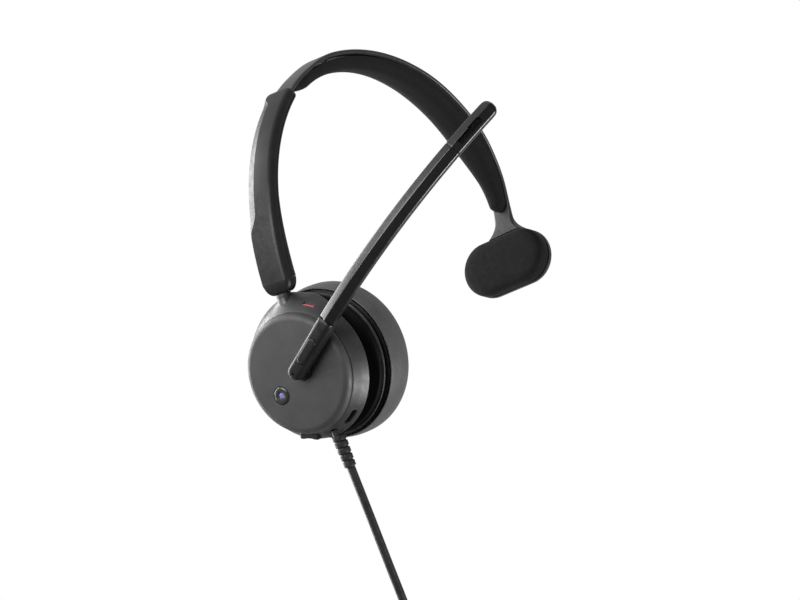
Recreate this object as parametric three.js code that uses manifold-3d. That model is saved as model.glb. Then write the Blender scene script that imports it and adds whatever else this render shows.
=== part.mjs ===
// A wired office headset with one ear cup, a temple pad and a swinging microphone boom.
// Millimetres, +Z up. The headband's arch lies in the XZ plane, the ear cup is at -X, the temple pad
// at +X, and -Y is the wearer's front. The origin is between the two pads at ear height.

import * as THREE from 'three';
import { mergeVertices } from 'three/addons/utils/BufferGeometryUtils.js';
import Module from 'manifold-3d';

const wasm = await Module();
wasm.setup();

// ---------------------------------------------------------------------------------------------
// Driving dimensions
// ---------------------------------------------------------------------------------------------

const GAP = 0.3;                // clearance between neighbouring pieces

const HEAD_HALF = 65.9;         // from the head's middle to the ear cushion and to the temple pad

// The arch is three arcs that meet at equal tangents: a wide one over the top and two side arcs.
const ARCH_X = -11.3;
const ARCH_TOP_Z = 130.8;
const TOP_RADIUS = 107.3;
const TOP_HALF_ANGLE = 15;
const SIDE_RADIUS = 86.4;

// Band angles run from 0 at the left (-X) through 90 at the top to 180 at the right.
const STRIP_START = 8;
const STRIP_RECESS = 1.0;       // how far the sliding strip lies inside the arch's outer line
const STRIP_WIDTH = 9.6;
const STRIP_THICK = 1.4;
const FRAME_THICK = 1.7;
const BRIDGE_START = 46.8;       // between the sleeve and the pad the strip is thicker
const BRIDGE_GROWTH = 0.3;
const ARM_END = 170;
const ARM_VEER = 5.0;           // the temple arm bends this far inwards
const ARM_GROWTH = 2.2;         // and it is this much thicker where it meets the temple pad

const PAD_START = 49.5;
const PAD_END = 160;
const PAD_INNER = 7.4;          // the pad's inner face, below the arch's outer line

const SLEEVE_TOP = 46;
const SLEEVE_BOTTOM = -14.5;
const SLEEVE_WIDTH = 12.3;
const SLEEVE_OUTER = 0.6;
const SLEEVE_INNER = 4.2;
const SLEEVE_INNER_LOW = 6.4;   // the sleeve is thicker at its lower end, round the swivel
const SLEEVE_WALL = 1.1;
const SLEEVE_SPLIT = 2.8;
const SOCKET_TOP = -11.2;

// The ear cup's own frame: x along the cup's axis towards the head, from the cover's seam.
const CUP_TILT = 14.5;
const CUP_DEPTH = 31;           // from the seam to the cushion's face
const FACE_X = -3.2;
const FACE_RADIUS = 20;
const SEAM_RADIUS = 22.9;
const RIM_X = 5.8;
const RIM_RADIUS = 26.4;
const SHELL = 1.4;
const FLOOR_X = 3.8;
const FLOOR_THICK = 1.4;
const SADDLE_DEPTH = 4.2;
const SADDLE_RISE = 2.2;
const NECK_X = 6.3;
const NECK_RADIUS = 3.4;
const NECK_TOP = 29.6;

const GIMBAL_X = 9.4;           // axis of the ear pad's tilt
const FLANGE_X = 14.4;
const FLANGE_RADIUS = 27.5;
const CUSHION_X = 17.2;
const CUSHION_NEAR_RADIUS = 28.9;
const CUSHION_RADIUS = 30;
const CUSHION_HOLE = 12;

const SCREW_RING = 17.5;
const SCREW_ANGLES = [90, 210, 330];

const STATUS_Y = 9.3;
const STATUS_Z = -5.8;
const STATUS_RADIUS = 3.4;

const LIGHT_ANGLE = 26;         // angles round the cup: 0 at the top, 90 at the front
const LIGHT_X = 3.3;
const LIGHT_LENGTH = 4.8;
const VENT_ANGLE = 149;
const VENT_LENGTH = 7.4;
const VENT_WIDTH = 1.9;
const ROCKER_ANGLE = 197;
const ROCKER_LENGTH = 8.4;
const ROCKER_WIDTH = 2.6;
const WALL_X = 3.2;             // middle of the cup body's side wall

const BOOM_Y = -3.5;
const BOOM_Z = 1.1;
const BOOM_ANGLE = 54.9;        // forward of straight up
const BOOM_X = -6.4;            // middle of the boom's thickness at its base
const BOOM_WIDTH = 6.4;
const BOOM_THICK = 5.2;
const BOOM_BASE_END = 24.6;
const BOOM_STRAIGHT = 20;
const BOOM_BEND_RADIUS = 172;
const BOOM_MIC_START = 102.5;
const BOOM_END = 124;
const CALL_CENTRE = 10.2;
const CALL_LENGTH = 11.6;
const CALL_WIDTH = 3.5;

const CORD_RADIUS = 1.6;
const RELIEF_X = 4.0;
const RELIEF_Y = -4.0;
const RELIEF_START = -24.2;
const RELIEF_LENGTH = 14.6;
const RELIEF_LEAN = 3.6;

// The free cord's middle line below the strain relief, the coil that hangs from it, and the tail.
const CORD_ROUTE = [
  [-82.1, -5.0, -45.1], [-81.3, -5.2, -48.3], [-79.5, -5.6, -55.2], [-77.2, -6.1, -64.0],
  [-74.9, -6.6, -73.0], [-72.6, -7.1, -82.0], [-70.2, -7.6, -91.0], [-67.9, -8.1, -100.0],
  [-65.8, -8.7, -109.0], [-64.2, -9.3, -118.0], [-63.2, -9.9, -127.0], [-62.6, -10.4, -136.0],
  [-62.4, -10.5, -142.0], [-62.4, -9.4, -146.2],
];
const COIL_CENTRE = [-57.1, -2, -173.4];
const COIL_MID_RADIUS = 17.6;
const COIL_HALF_THICK = 7.2;    // from the middle turn outwards
const COIL_HALF_WIDTH = 7.1;    // along the coil's axis
const TIE_ANGLE = 38;           // forward of the coil's top
const TIE_WIDTH = 10;
const TIE_THICK = 1.2;
const TIE_SLACK = 1.4;          // inside the coil, under the turns
const TAIL_ROUTE = [[-51.8, 21.0, -187.0], [-51.8, 21.05, -191.5], [-51.8, 21.1, -196.0]];
const PLUG_X = -51.8;
const PLUG_Y = 21.1;
const PLUG_TOP = -196.3;
const PLUG_BOOT = 6;
const PLUG_BODY = 17;
const PLUG_TONGUE = 6.6;

// ---------------------------------------------------------------------------------------------
// Materials
// ---------------------------------------------------------------------------------------------

const finish = (color, roughness, metalness = 0) => (
  new THREE.MeshStandardMaterial({ color, roughness, metalness })
);
const satinBlack = finish(0x232425, 0.45);
const matteBlack = finish(0x2b2c2d, 0.65);
const glossBlack = finish(0x141516, 0.2);
const leatherette = finish(0x2a2a2b, 0.6);
const softPad = finish(0x1e1e1f, 0.9);
const rubber = finish(0x181818, 0.7);
const steel = finish(0xb8babd, 0.3, 1);
const board = finish(0x1f5a38, 0.6);
const film = finish(0xd8cfae, 0.4);
const redLens = finish(0xc23b48, 0.35);
const blueLens = finish(0x7f86e0, 0.3);
const contact = finish(0xc9a24a, 0.3, 1);

// ---------------------------------------------------------------------------------------------
// Solid modelling helpers
// ---------------------------------------------------------------------------------------------

const V = (x, y, z) => new THREE.Vector3(x, y, z);
const rad = THREE.MathUtils.degToRad;
const blendIn = (value, from, to) => THREE.MathUtils.smoothstep(value, from, to);

function signedVolume(positions, triangles) {
  let total = 0;
  for (let t = 0; t < triangles.length; t += 3) {
    const corners = [0, 1, 2].map((k) => V().fromArray(positions, 3 * triangles[t + k]));
    total += corners[0].dot(corners[1].cross(corners[2]));
  }
  return total / 6;
}

// A closed three.js geometry as a solid whose faces point out.
function solid(geometry) {
  const bare = new THREE.BufferGeometry();
  bare.setAttribute('position', geometry.attributes.position);
  bare.setIndex(geometry.index);
  const merged = mergeVertices(bare, 1e-4);
  const source = merged.index.array;
  let triangles = [];
  for (let t = 0; t < source.length; t += 3) {
    const [a, b, c] = [source[t], source[t + 1], source[t + 2]];
    if (a !== b && b !== c && c !== a) triangles.push(a, b, c);
  }
  const positions = Float32Array.from(merged.attributes.position.array);
  if (signedVolume(positions, triangles) < 0) triangles = triangles.reverse();
  const triVerts = Uint32Array.from(triangles);
  return new wasm.Manifold(new wasm.Mesh({ numProp: 3, vertProperties: positions, triVerts }));
}

function geometryOf(body) {
  const mesh = body.getMesh();
  const geometry = new THREE.BufferGeometry();
  geometry.setAttribute('position', new THREE.BufferAttribute(mesh.vertProperties, 3));
  geometry.setIndex(new THREE.BufferAttribute(mesh.triVerts, 1));
  geometry.computeVertexNormals();
  return geometry;
}

const cut = (body, ...tools) => tools.reduce((left, tool) => left.subtract(tool), body);
const join = (...bodies) => bodies.reduce((sum, body) => sum.add(body));

function addPart(group, name, body, material) {
  const mesh = new THREE.Mesh(geometryOf(body), material);
  mesh.name = name;
  group.add(mesh);
}

function box(from, to) {
  const size = to.map((value, k) => value - from[k]);
  const middle = to.map((value, k) => (value + from[k]) / 2);
  return solid(new THREE.BoxGeometry(...size).translate(...middle));
}

// A cylinder between two points.
function rod(start, end, radius, sides = 20) {
  const [a, b] = [V(...start), V(...end)];
  const axis = b.clone().sub(a);
  const geometry = new THREE.CylinderGeometry(radius, radius, axis.length(), sides);
  const turn = new THREE.Quaternion().setFromUnitVectors(V(0, 1, 0), axis.clone().normalize());
  geometry.applyQuaternion(turn);
  const middle = a.add(b).multiplyScalar(0.5);
  return solid(geometry.translate(middle.x, middle.y, middle.z));
}

// Turned bodies: the profile is a closed loop of [along the axis, radius].
function turned(profile, segments = 48) {
  const loop = [...profile, profile[0]].map(([along, radius]) => new THREE.Vector2(radius, along));
  return new THREE.LatheGeometry(loop, segments);
}
const turnedX = (profile, segments) => solid(turned(profile, segments).rotateZ(-Math.PI / 2));
const turnedZ = (profile, segments) => solid(turned(profile, segments).rotateX(Math.PI / 2));

function stadium(length, width) {
  const shape = new THREE.Shape();
  const straight = (length - width) / 2;
  shape.absarc(straight, 0, width / 2, -Math.PI / 2, Math.PI / 2, false);
  shape.absarc(-straight, 0, width / 2, Math.PI / 2, 1.5 * Math.PI, false);
  shape.closePath();
  return shape;
}

function uprightStadium(length, width) {
  const shape = new THREE.Shape();
  const straight = (length - width) / 2;
  shape.absarc(0, straight, width / 2, 0, Math.PI, false);
  shape.absarc(0, -straight, width / 2, Math.PI, 2 * Math.PI, false);
  shape.closePath();
  return shape;
}

// An outline in the YZ plane given depth along X.
const YZX = new THREE.Matrix4().makeBasis(V(0, 1, 0), V(0, 0, 1), V(1, 0, 0));
function plateX(shape, from, to, curveSegments = 8) {
  const options = { depth: to - from, bevelEnabled: false, curveSegments };
  return solid(new THREE.ExtrudeGeometry(shape, options).applyMatrix4(YZX).translate(from, 0, 0));
}

// An outline in the XY plane given depth along Z.
function plateZ(shape, from, to, curveSegments = 8) {
  const options = { depth: to - from, bevelEnabled: false, curveSegments };
  return solid(new THREE.ExtrudeGeometry(shape, options).translate(0, 0, from));
}

const transformed = (body, matrix) => body.transform(matrix.elements);
const moved = (body, x, y, z) => body.translate([x, y, z]);

// Triangles of a flat ring of points, all counter-clockwise in the ring's own order.
function capTriangles(ring) {
  const normal = V();
  ring.forEach((point, i) => normal.add(point.clone().cross(ring[(i + 1) % ring.length])));
  normal.normalize();
  const first = ring[1].clone().sub(ring[0]).normalize();
  const second = normal.clone().cross(first);
  const flat = ring.map((point) => new THREE.Vector2(point.dot(first), point.dot(second)));
  return THREE.ShapeUtils.triangulateShape(flat, []).map(([a, b, c]) => {
    const area = flat[b].clone().sub(flat[a]).cross(flat[c].clone().sub(flat[a]));
    return area > 0 ? [a, b, c] : [a, c, b];
  });
}

// A solid through a list of rings with equal point counts, closed by flat caps.
function loft(rings) {
  const count = rings[0].length;
  const positions = rings.flat().flatMap((point) => point.toArray());
  const index = [];
  for (let r = 0; r < rings.length - 1; r += 1) {
    for (let i = 0; i < count; i += 1) {
      const a = r * count + i;
      const b = r * count + ((i + 1) % count);
      index.push(a, b, a + count, b, b + count, a + count);
    }
  }
  capTriangles(rings[0]).forEach(([a, b, c]) => index.push(a, c, b));
  const last = (rings.length - 1) * count;
  capTriangles(rings.at(-1)).forEach(([a, b, c]) => index.push(last + a, last + b, last + c));
  const geometry = new THREE.BufferGeometry();
  geometry.setAttribute('position', new THREE.Float32BufferAttribute(positions, 3));
  geometry.setIndex(index);
  return solid(geometry);
}

// A rectangle with its corners cut off, from low to high and across, as [height, across].
function trimmedSection(low, high, width, corner) {
  const half = width / 2;
  const inset = Math.min(corner, (high - low) * 0.45, half * 0.9);
  return [
    [high, -half + inset], [high, half - inset], [high - inset, half], [low + inset, half],
    [low, half - inset], [low, -half + inset], [low + inset, -half], [high - inset, -half],
  ];
}

// A round tube along a smooth line, with a flat face on each end.
function tube(points, radius, sides, steps) {
  const curve = new THREE.CatmullRomCurve3(points.map((p) => V(...p)), false, 'centripetal');
  const shape = new THREE.Shape();
  for (let i = 0; i < sides; i += 1) {
    const a = (2 * Math.PI * i) / sides;
    const point = [radius * Math.cos(a), radius * Math.sin(a)];
    if (i === 0) shape.moveTo(...point);
    else shape.lineTo(...point);
  }
  shape.closePath();
  return solid(new THREE.ExtrudeGeometry(shape, { steps, extrudePath: curve, curveSegments: 1 }));
}

// ---------------------------------------------------------------------------------------------
// The headband
// ---------------------------------------------------------------------------------------------

const TOP_CENTRE_Z = ARCH_TOP_Z - TOP_RADIUS;
const SIDE_CENTRE_Z = TOP_CENTRE_Z + (TOP_RADIUS - SIDE_RADIUS) * Math.cos(rad(TOP_HALF_ANGLE));
const SIDE_SHIFT = (TOP_RADIUS - SIDE_RADIUS) * Math.sin(rad(TOP_HALF_ANGLE));

// A point on the band: its angle, its height above the arch's outer line, its place across.
function bandPoint(angle, height, across) {
  let side = 0;
  if (angle < 90 - TOP_HALF_ANGLE) side = -1;
  if (angle > 90 + TOP_HALF_ANGLE) side = 1;
  const radius = (side ? SIDE_RADIUS : TOP_RADIUS) + height;
  const centreX = ARCH_X + side * SIDE_SHIFT;
  const centreZ = side ? SIDE_CENTRE_Z : TOP_CENTRE_Z;
  return V(centreX - radius * Math.cos(rad(angle)), across, centreZ + radius * Math.sin(rad(angle)));
}

function bandLoft(from, to, step, section) {
  const count = Math.max(1, Math.round((to - from) / step));
  const rings = [];
  for (let i = 0; i <= count; i += 1) {
    const angle = from + ((to - from) * i) / count;
    rings.push(section(angle).map(([height, across]) => bandPoint(angle, height, across)));
  }
  return loft(rings);
}

const veer = (angle) => ARM_VEER * blendIn(angle, 148, 168);

// The band is narrow where it slides, widest behind the top, and narrow again at the temple arm.
function frameWidth(angle) {
  const widened = STRIP_WIDTH + 6.8 * blendIn(angle, 58, 116);
  const narrowed = widened - 8.0 * blendIn(angle, 132, 161);
  return narrowed + 14 * blendIn(angle, 162, 175);
}

function frameTop(angle) {
  return -STRIP_RECESS * (1 - blendIn(angle, 57, 72)) - veer(angle);
}

function frameSection(angle) {
  const top = frameTop(angle);
  const band = (FRAME_THICK - STRIP_THICK) * blendIn(angle, 57, 72);
  const bridge = blendIn(angle, BRIDGE_START, 50) * (1 - blendIn(angle, 56, 60));
  const grown = band + BRIDGE_GROWTH * bridge + ARM_GROWTH * blendIn(angle, 157, 167);
  return trimmedSection(top - STRIP_THICK - grown, top, frameWidth(angle), 0.45);
}

// The temple pad's frame: x from the pad's face outwards, y and z across the face.
const TEMPLE_PLACE = new THREE.Matrix4().compose(
  V(HEAD_HALF, 2.6, 49.2),
  new THREE.Quaternion().setFromEuler(new THREE.Euler(rad(-4.3), rad(4.6), 0, 'YXZ')),
  V(1, 1, 1),
);
const TEMPLE_LENGTH = 42;
const TEMPLE_HEIGHT = 24.2;
const TEMPLE_PAD_THICK = 6.4;
const TEMPLE_SHELL_THICK = 2.6;

function makeHeadbandFrame() {
  const band = bandLoft(STRIP_START, ARM_END, 4, frameSection);
  const shellFrom = TEMPLE_PAD_THICK + GAP;
  const shellTo = shellFrom + TEMPLE_SHELL_THICK;
  const back = plateX(stadium(TEMPLE_LENGTH - 3, TEMPLE_HEIGHT - 3), shellTo - 0.1, shellTo + 0.8, 10);
  const plate = plateX(stadium(TEMPLE_LENGTH, TEMPLE_HEIGHT), shellFrom, shellTo, 10);
  const padRoom = plateX(stadium(TEMPLE_LENGTH + 2, TEMPLE_HEIGHT + 1), -8, shellFrom, 10);
  const arm = cut(band, transformed(padRoom, TEMPLE_PLACE));
  return join(arm, transformed(join(plate, back), TEMPLE_PLACE));
}

function makeTemplePad() {
  const inner = plateX(stadium(TEMPLE_LENGTH - 2.4, TEMPLE_HEIGHT - 2.4), 0, 1.3, 10);
  const main = plateX(stadium(TEMPLE_LENGTH, TEMPLE_HEIGHT), 1.2, TEMPLE_PAD_THICK, 10);
  return transformed(join(inner, main), TEMPLE_PLACE);
}

function makeSpringCore() {
  return bandLoft(PAD_START + 20, PAD_END - 14, 4, (angle) => {
    const top = frameTop(angle) - FRAME_THICK - GAP;
    return trimmedSection(top - 0.6, top, 7, 0.1);
  });
}

// The soft pad under the band, with ends that run out to thin round tongues.
function makeHeadbandPad() {
  return bandLoft(PAD_START, PAD_END, 4, (angle) => {
    const ends = blendIn(angle, PAD_START - 1, PAD_START + 7) * (1 - blendIn(angle, 157, PAD_END + 1));
    const width = (frameWidth(angle) - 1.2) * (0.5 + 0.5 * ends);
    const top = -FRAME_THICK - 3 * GAP - 0.6 - veer(angle);
    const low = top - (PAD_INNER - FRAME_THICK - 3 * GAP - 0.6) * (0.3 + 0.7 * ends);
    return trimmedSection(low, top, width, 0.9);
  });
}

// A small plate under the strip's lower end, which keeps the sleeve from leaving it.
function makeEndStop() {
  const top = -STRIP_RECESS - STRIP_THICK - 0.2;
  return bandLoft(STRIP_START + 0.3, STRIP_START + 2.7, 1.2, () => (
    trimmedSection(top - 0.45, top, 6, 0.1)
  ));
}

// ---------------------------------------------------------------------------------------------
// The sleeve that slides on the strip
// ---------------------------------------------------------------------------------------------

function sleeveInner(angle) {
  return -(SLEEVE_INNER + (SLEEVE_INNER_LOW - SLEEVE_INNER) * (1 - blendIn(angle, -8, 22)));
}

function makeSleeveOuter(cupBore) {
  const half = SLEEVE_WIDTH / 2;
  const hollow = half - SLEEVE_WALL;
  const chamfer = 1.5;
  const roof = -STRIP_RECESS + GAP;
  const shell = bandLoft(SOCKET_TOP - 0.2, SLEEVE_TOP, 4, () => [
    [SLEEVE_OUTER, -half + chamfer], [SLEEVE_OUTER, half - chamfer],
    [SLEEVE_OUTER - chamfer, half], [-SLEEVE_SPLIT, half],
    [-SLEEVE_SPLIT - 0.01, hollow], [roof, hollow], [roof, -hollow],
    [-SLEEVE_SPLIT - 0.01, -hollow], [-SLEEVE_SPLIT, -half], [SLEEVE_OUTER - chamfer, -half],
  ]);
  const socket = bandLoft(SLEEVE_BOTTOM, SOCKET_TOP, 1.1, (angle) => {
    const round = 0.82 + 0.18 * Math.sqrt(blendIn(angle, SLEEVE_BOTTOM - 1.5, SOCKET_TOP));
    const low = sleeveInner(angle);
    const middle = (SLEEVE_OUTER + low) / 2;
    const halfThick = ((SLEEVE_OUTER - low) / 2) * round;
    return trimmedSection(middle - halfThick, middle + halfThick, SLEEVE_WIDTH * round, 1.5);
  });
  return cut(join(shell, socket), cupBore);
}

function makeSleeveInner() {
  const half = SLEEVE_WIDTH / 2;
  const hollow = half - SLEEVE_WALL;
  const chamfer = 1.0;
  const wallTop = -SLEEVE_SPLIT - GAP;
  return bandLoft(SOCKET_TOP + 0.3, SLEEVE_TOP, 4, (angle) => {
    const low = sleeveInner(angle);
    const floor = Math.min(low + 0.85, wallTop - 0.05);
    return [
      [wallTop, -half], [wallTop, -hollow], [floor, -hollow], [floor, hollow], [wallTop, hollow],
      [wallTop, half], [low + chamfer * 0.6, half], [low, half - chamfer], [low, -half + chamfer],
      [low + chamfer * 0.6, -half],
    ];
  });
}

// A leaf that presses on the strip, so that the sleeve clicks and stays where it is put.
function makeDetentLeaf() {
  return bandLoft(36, 44, 1.6, (angle) => {
    const lift = 0.18 * Math.sin((Math.PI * (angle - 36)) / 8);
    return trimmedSection(-3.0 + lift, -2.85 + lift, 5, 0.02);
  });
}

// ---------------------------------------------------------------------------------------------
// The ear cup, in its own frame
// ---------------------------------------------------------------------------------------------

const cup = new THREE.Group();
const cupTurn = rad(CUP_TILT);
cup.position.set(
  -HEAD_HALF - CUP_DEPTH * Math.cos(cupTurn), 0, -CUP_DEPTH * Math.sin(cupTurn),
);
cup.rotation.y = -cupTurn;
cup.updateMatrix();

// Places a piece on the cup's wall: its own x is the cup's axis, y runs round, z points outwards.
function atWall(body, angle, x, radius) {
  const turn = new THREE.Matrix4().makeRotationX(rad(angle));
  const lift = new THREE.Matrix4().makeTranslation(x, 0, radius);
  return transformed(body, turn.multiply(lift));
}

// 1 at the saddle over the cup's top and 0 round the rest.
const saddle = (angle) => 1 - blendIn(Math.abs(angle), 16, 58);

function makeCupBody() {
  const wall = [
    [0.2, SEAM_RADIUS - 0.1, 0, 0], [2.9, 24.7, 0.3, 0.7], [5.2, 26.2, 0.75, 0.95],
    [RIM_X, RIM_RADIUS, 0.95, 1], [RIM_X + 0.4, RIM_RADIUS - 0.3, 1, 0.9],
    [RIM_X + 0.4, RIM_RADIUS - SHELL, 1, 0.8], [FLOOR_X + FLOOR_THICK, 24.4, 0, 0],
    [FLOOR_X + FLOOR_THICK, 13, 0, 0], [FLOOR_X, 13, 0, 0], [FLOOR_X, 23.0, 0, 0],
    [0.2, SEAM_RADIUS - 0.1 - SHELL, 0, 0],
  ];
  const segments = 40;
  const positions = [];
  for (let s = 0; s < segments; s += 1) {
    const degrees = (360 * s) / segments - 180;
    const rise = saddle(degrees);
    wall.forEach(([x, radius, deeper, higher]) => {
      const r = radius + SADDLE_RISE * higher * rise;
      const a = rad(degrees);
      positions.push(x + SADDLE_DEPTH * deeper * rise, -r * Math.sin(a), r * Math.cos(a));
    });
  }
  const index = [];
  for (let s = 0; s < segments; s += 1) {
    for (let p = 0; p < wall.length; p += 1) {
      const next = ((s + 1) % segments) * wall.length;
      const here = s * wall.length;
      const q = (p + 1) % wall.length;
      index.push(here + p, here + q, next + p, here + q, next + q, next + p);
    }
  }
  const ring = new THREE.BufferGeometry();
  ring.setAttribute('position', new THREE.Float32BufferAttribute(positions, 3));
  ring.setIndex(index);

  const flare = moved(turnedZ([
    [22.6, 0], [22.6, 5.0], [25.4, 7.2], [26.6, 5.6], [27.6, 4.2], [28.6, NECK_RADIUS],
    [NECK_TOP, NECK_RADIUS], [NECK_TOP, 0],
  ], 28), NECK_X - 0.6, 0, 0);
  const neck = cut(flare, box([RIM_X + SADDLE_DEPTH + 0.2, -12, 20], [20, 12, 40]));
  const pinBore = rod([NECK_X, 0, 25.2], [NECK_X, 0, 34], 1.6);
  const lightWindow = box(
    [-0.9, -LIGHT_LENGTH / 2 - GAP, -4], [0.9, LIGHT_LENGTH / 2 + GAP, 4],
  );
  const vent = plateZ(uprightStadium(VENT_LENGTH, VENT_WIDTH), -3, 3);
  const rockerHole = box(
    [-ROCKER_WIDTH / 2 - 0.35, -ROCKER_LENGTH / 2 - 0.4, -3],
    [ROCKER_WIDTH / 2 + 0.35, ROCKER_LENGTH / 2 + 0.4, 3],
  );
  const reliefBore = rod([RELIEF_X, RELIEF_Y, -20], [RELIEF_X, RELIEF_Y, -30], 2.3);
  const screwHoles = SCREW_ANGLES.map((angle) => {
    const [y, z] = [-SCREW_RING * Math.sin(rad(angle)), SCREW_RING * Math.cos(rad(angle))];
    return rod([FLOOR_X - 1, y, z], [FLOOR_X + 4, y, z], 1.2, 12);
  });
  return cut(
    join(solid(ring), neck), pinBore,
    atWall(lightWindow, LIGHT_ANGLE, LIGHT_X, 23.8),
    atWall(vent, VENT_ANGLE, WALL_X, 24.4),
    atWall(rockerHole, ROCKER_ANGLE, WALL_X, 24.4),
    reliefBore, ...screwHoles,
  );
}

function makeCupCover() {
  const shoulder = [];
  for (let i = 0; i <= 4; i += 1) {
    const a = (Math.PI / 2) * (i / 4);
    shoulder.push([
      FACE_X + (-FACE_X - 0.1) * (1 - Math.cos(a)),
      FACE_RADIUS + (SEAM_RADIUS - FACE_RADIUS) * Math.sin(a),
    ]);
  }
  const shell = turnedX([
    [FACE_X, 0], ...shoulder, [-0.1, SEAM_RADIUS - SHELL], [-1.2, 20.3],
    [FACE_X + SHELL, 18.9], [FACE_X + SHELL, 0],
  ], 40);
  const posts = SCREW_ANGLES.map((angle) => {
    const [y, z] = [-SCREW_RING * Math.sin(rad(angle)), SCREW_RING * Math.cos(rad(angle))];
    const post = rod([FACE_X + SHELL - 0.2, y, z], [FLOOR_X - GAP, y, z], 1.9, 10);
    return cut(post, rod([-0.6, y, z], [FLOOR_X + 1, y, z], 0.95, 8));
  });
  const boomBore = rod([FACE_X - 1, BOOM_Y, BOOM_Z], [0, BOOM_Y, BOOM_Z], 4.2, 20);
  const buttonBore = rod(
    [FACE_X - 1, STATUS_Y, STATUS_Z], [0, STATUS_Y, STATUS_Z], STATUS_RADIUS + GAP, 20,
  );
  return cut(join(shell, ...posts), boomBore, buttonBore);
}

function makeCoverScrew(angle) {
  const [y, z] = [-SCREW_RING * Math.sin(rad(angle)), SCREW_RING * Math.cos(rad(angle))];
  const top = FLOOR_X + FLOOR_THICK + 0.2;
  const shank = rod([0.2, y, z], [top + 0.1, y, z], 0.65, 10);
  const head = rod([top, y, z], [top + 0.8, y, z], 1.7, 14);
  const slot = box([top + 0.45, y - 0.25, z - 1.2], [top + 1, y + 0.25, z + 1.2]);
  return cut(join(shank, head), slot);
}

function makeMainBoard() {
  const disc = rod([0.9, 0, 0], [1.8, 0, 0], 19.2, 28);
  const hubHole = rod([0, BOOM_Y, BOOM_Z], [3, BOOM_Y, BOOM_Z], 6.4, 24);
  const notches = SCREW_ANGLES.map((angle) => {
    const [y, z] = [-SCREW_RING * Math.sin(rad(angle)), SCREW_RING * Math.cos(rad(angle))];
    return rod([0, y, z], [3, y, z], 2.4, 14);
  });
  const chip = box([1.7, -6, -14], [2.7, 1, -8]);
  const codec = box([1.7, 6, 5], [2.6, 11, 10]);
  return cut(join(disc, chip, codec), hubHole, ...notches);
}

// ---------------------------------------------------------------------------------------------
// The ear pad on its gimbal
// ---------------------------------------------------------------------------------------------

function makeGimbalBracket() {
  const base = FLOOR_X + FLOOR_THICK + GAP;
  const plate = turnedX([[base, 6], [base, 15.4], [base + 1, 15.4], [base + 1, 6]], 32);
  const ears = [-1, 1].map((side) => {
    const [near, far] = [side * 12.6, side * 14.2].sort((a, b) => a - b);
    return box([base + 0.5, near, -2.4], [GIMBAL_X + 1.2, far, 2.4]);
  });
  const bore = rod([GIMBAL_X, -20, 0], [GIMBAL_X, 20, 0], 1.15, 14);
  return cut(join(plate, ...ears), bore);
}

function makeSpeakerHousing() {
  const dish = turnedX([
    [12.1, 2], [11.0, 2], [11.0, 17.6], [8.7, 17.6], [8.7, 19.0], [11.6, 19.2],
    [13.4, 26.4], [FLANGE_X, FLANGE_RADIUS], [FLANGE_X + 0.8, FLANGE_RADIUS],
    [FLANGE_X + 0.8, 25.6], [13.9, 24.6], [12.5, 18.6],
  ], 32);
  const lugs = [-1, 1].map((side) => {
    const [near, far] = [side * 10.2, side * 12.2].sort((a, b) => a - b);
    return box([GIMBAL_X - 1.7, near, -2.2], [11.3, far, 2.2]);
  });
  const bore = rod([GIMBAL_X, -16, 0], [GIMBAL_X, 16, 0], 1.15, 14);
  return cut(join(dish, ...lugs), bore);
}

const makeGimbalPin = (side) => (
  rod([GIMBAL_X, side * 9.9, 0], [GIMBAL_X, side * 14.8, 0], 0.85, 12)
);

const BAFFLE_X = FLANGE_X + 1.1;

const makeBaffle = () => turnedX([
  [BAFFLE_X, 16.3], [BAFFLE_X, 26.4], [BAFFLE_X + 1.3, 26.4], [BAFFLE_X + 1.3, 16.3],
], 32);

const makeDriverFrame = () => turnedX([
  [12.5, 7.2], [12.5, 9.4], [15.0, 15.9], [BAFFLE_X + 1.2, 15.9], [BAFFLE_X + 1.2, 15.0],
  [15.4, 14.8], [13.3, 8.6], [13.3, 7.2],
], 28);

const makeMagnet = () => rod([12.45, 0, 0], [14.6, 0, 0], 6.8, 28);

const makeDiaphragm = () => turnedX([
  [15.7, 0], [15.7, 14.4], [16.0, 14.4], [16.5, 11], [16.2, 8], [16.7, 5], [16.9, 0],
], 24);

function makeSpeakerGrille() {
  const disc = rod([17.2, 0, 0], [17.9, 0, 0], 19.4, 32);
  const holes = [];
  [[5, 6], [10, 12]].forEach(([ring, count]) => {
    for (let i = 0; i < count; i += 1) {
      const a = (2 * Math.PI * i) / count;
      const [y, z] = [ring * Math.cos(a), ring * Math.sin(a)];
      holes.push(rod([16, y, z], [19, y, z], 1.3, 6));
    }
  });
  return cut(disc, ...holes);
}

const makeCushionRing = () => turnedX([
  [CUSHION_X, 19.8], [CUSHION_X, 28.0], [CUSHION_X + 1.3, 28.0], [CUSHION_X + 1.3, 19.8],
], 32);

const makeEarCushion = () => turnedX([
  [CUSHION_X, 28.35], [CUSHION_X, CUSHION_NEAR_RADIUS], [22, 29.7], [28.7, CUSHION_RADIUS],
  [30.3, 28.6], [CUP_DEPTH, 26], [CUP_DEPTH, 17], [29.8, 13.4], [27, CUSHION_HOLE],
  [19.6, CUSHION_HOLE], [18.9, 13.5], [18.9, 28.35],
], 36);

// ---------------------------------------------------------------------------------------------
// Buttons and lights
// ---------------------------------------------------------------------------------------------

function makeStatusButton() {
  const ring = turnedX([
    [-3.55, 1.5], [-3.5, 2.3], [-3.3, 3.0], [-2.9, STATUS_RADIUS], [-0.7, STATUS_RADIUS],
    [-0.7, 1.5],
  ], 20);
  return moved(ring, 0, STATUS_Y, STATUS_Z);
}

const makeStatusLight = () => moved(turnedX([
  [-3.58, 0], [-3.5, 0.8], [-3.3, 1.25], [-0.9, 1.25], [-0.9, 0],
], 14), 0, STATUS_Y, STATUS_Z);

const makeStatusSwitch = () => box(
  [0.1, STATUS_Y - 1.8, STATUS_Z - 1.8], [0.8, STATUS_Y + 1.8, STATUS_Z + 1.8],
);

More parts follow.
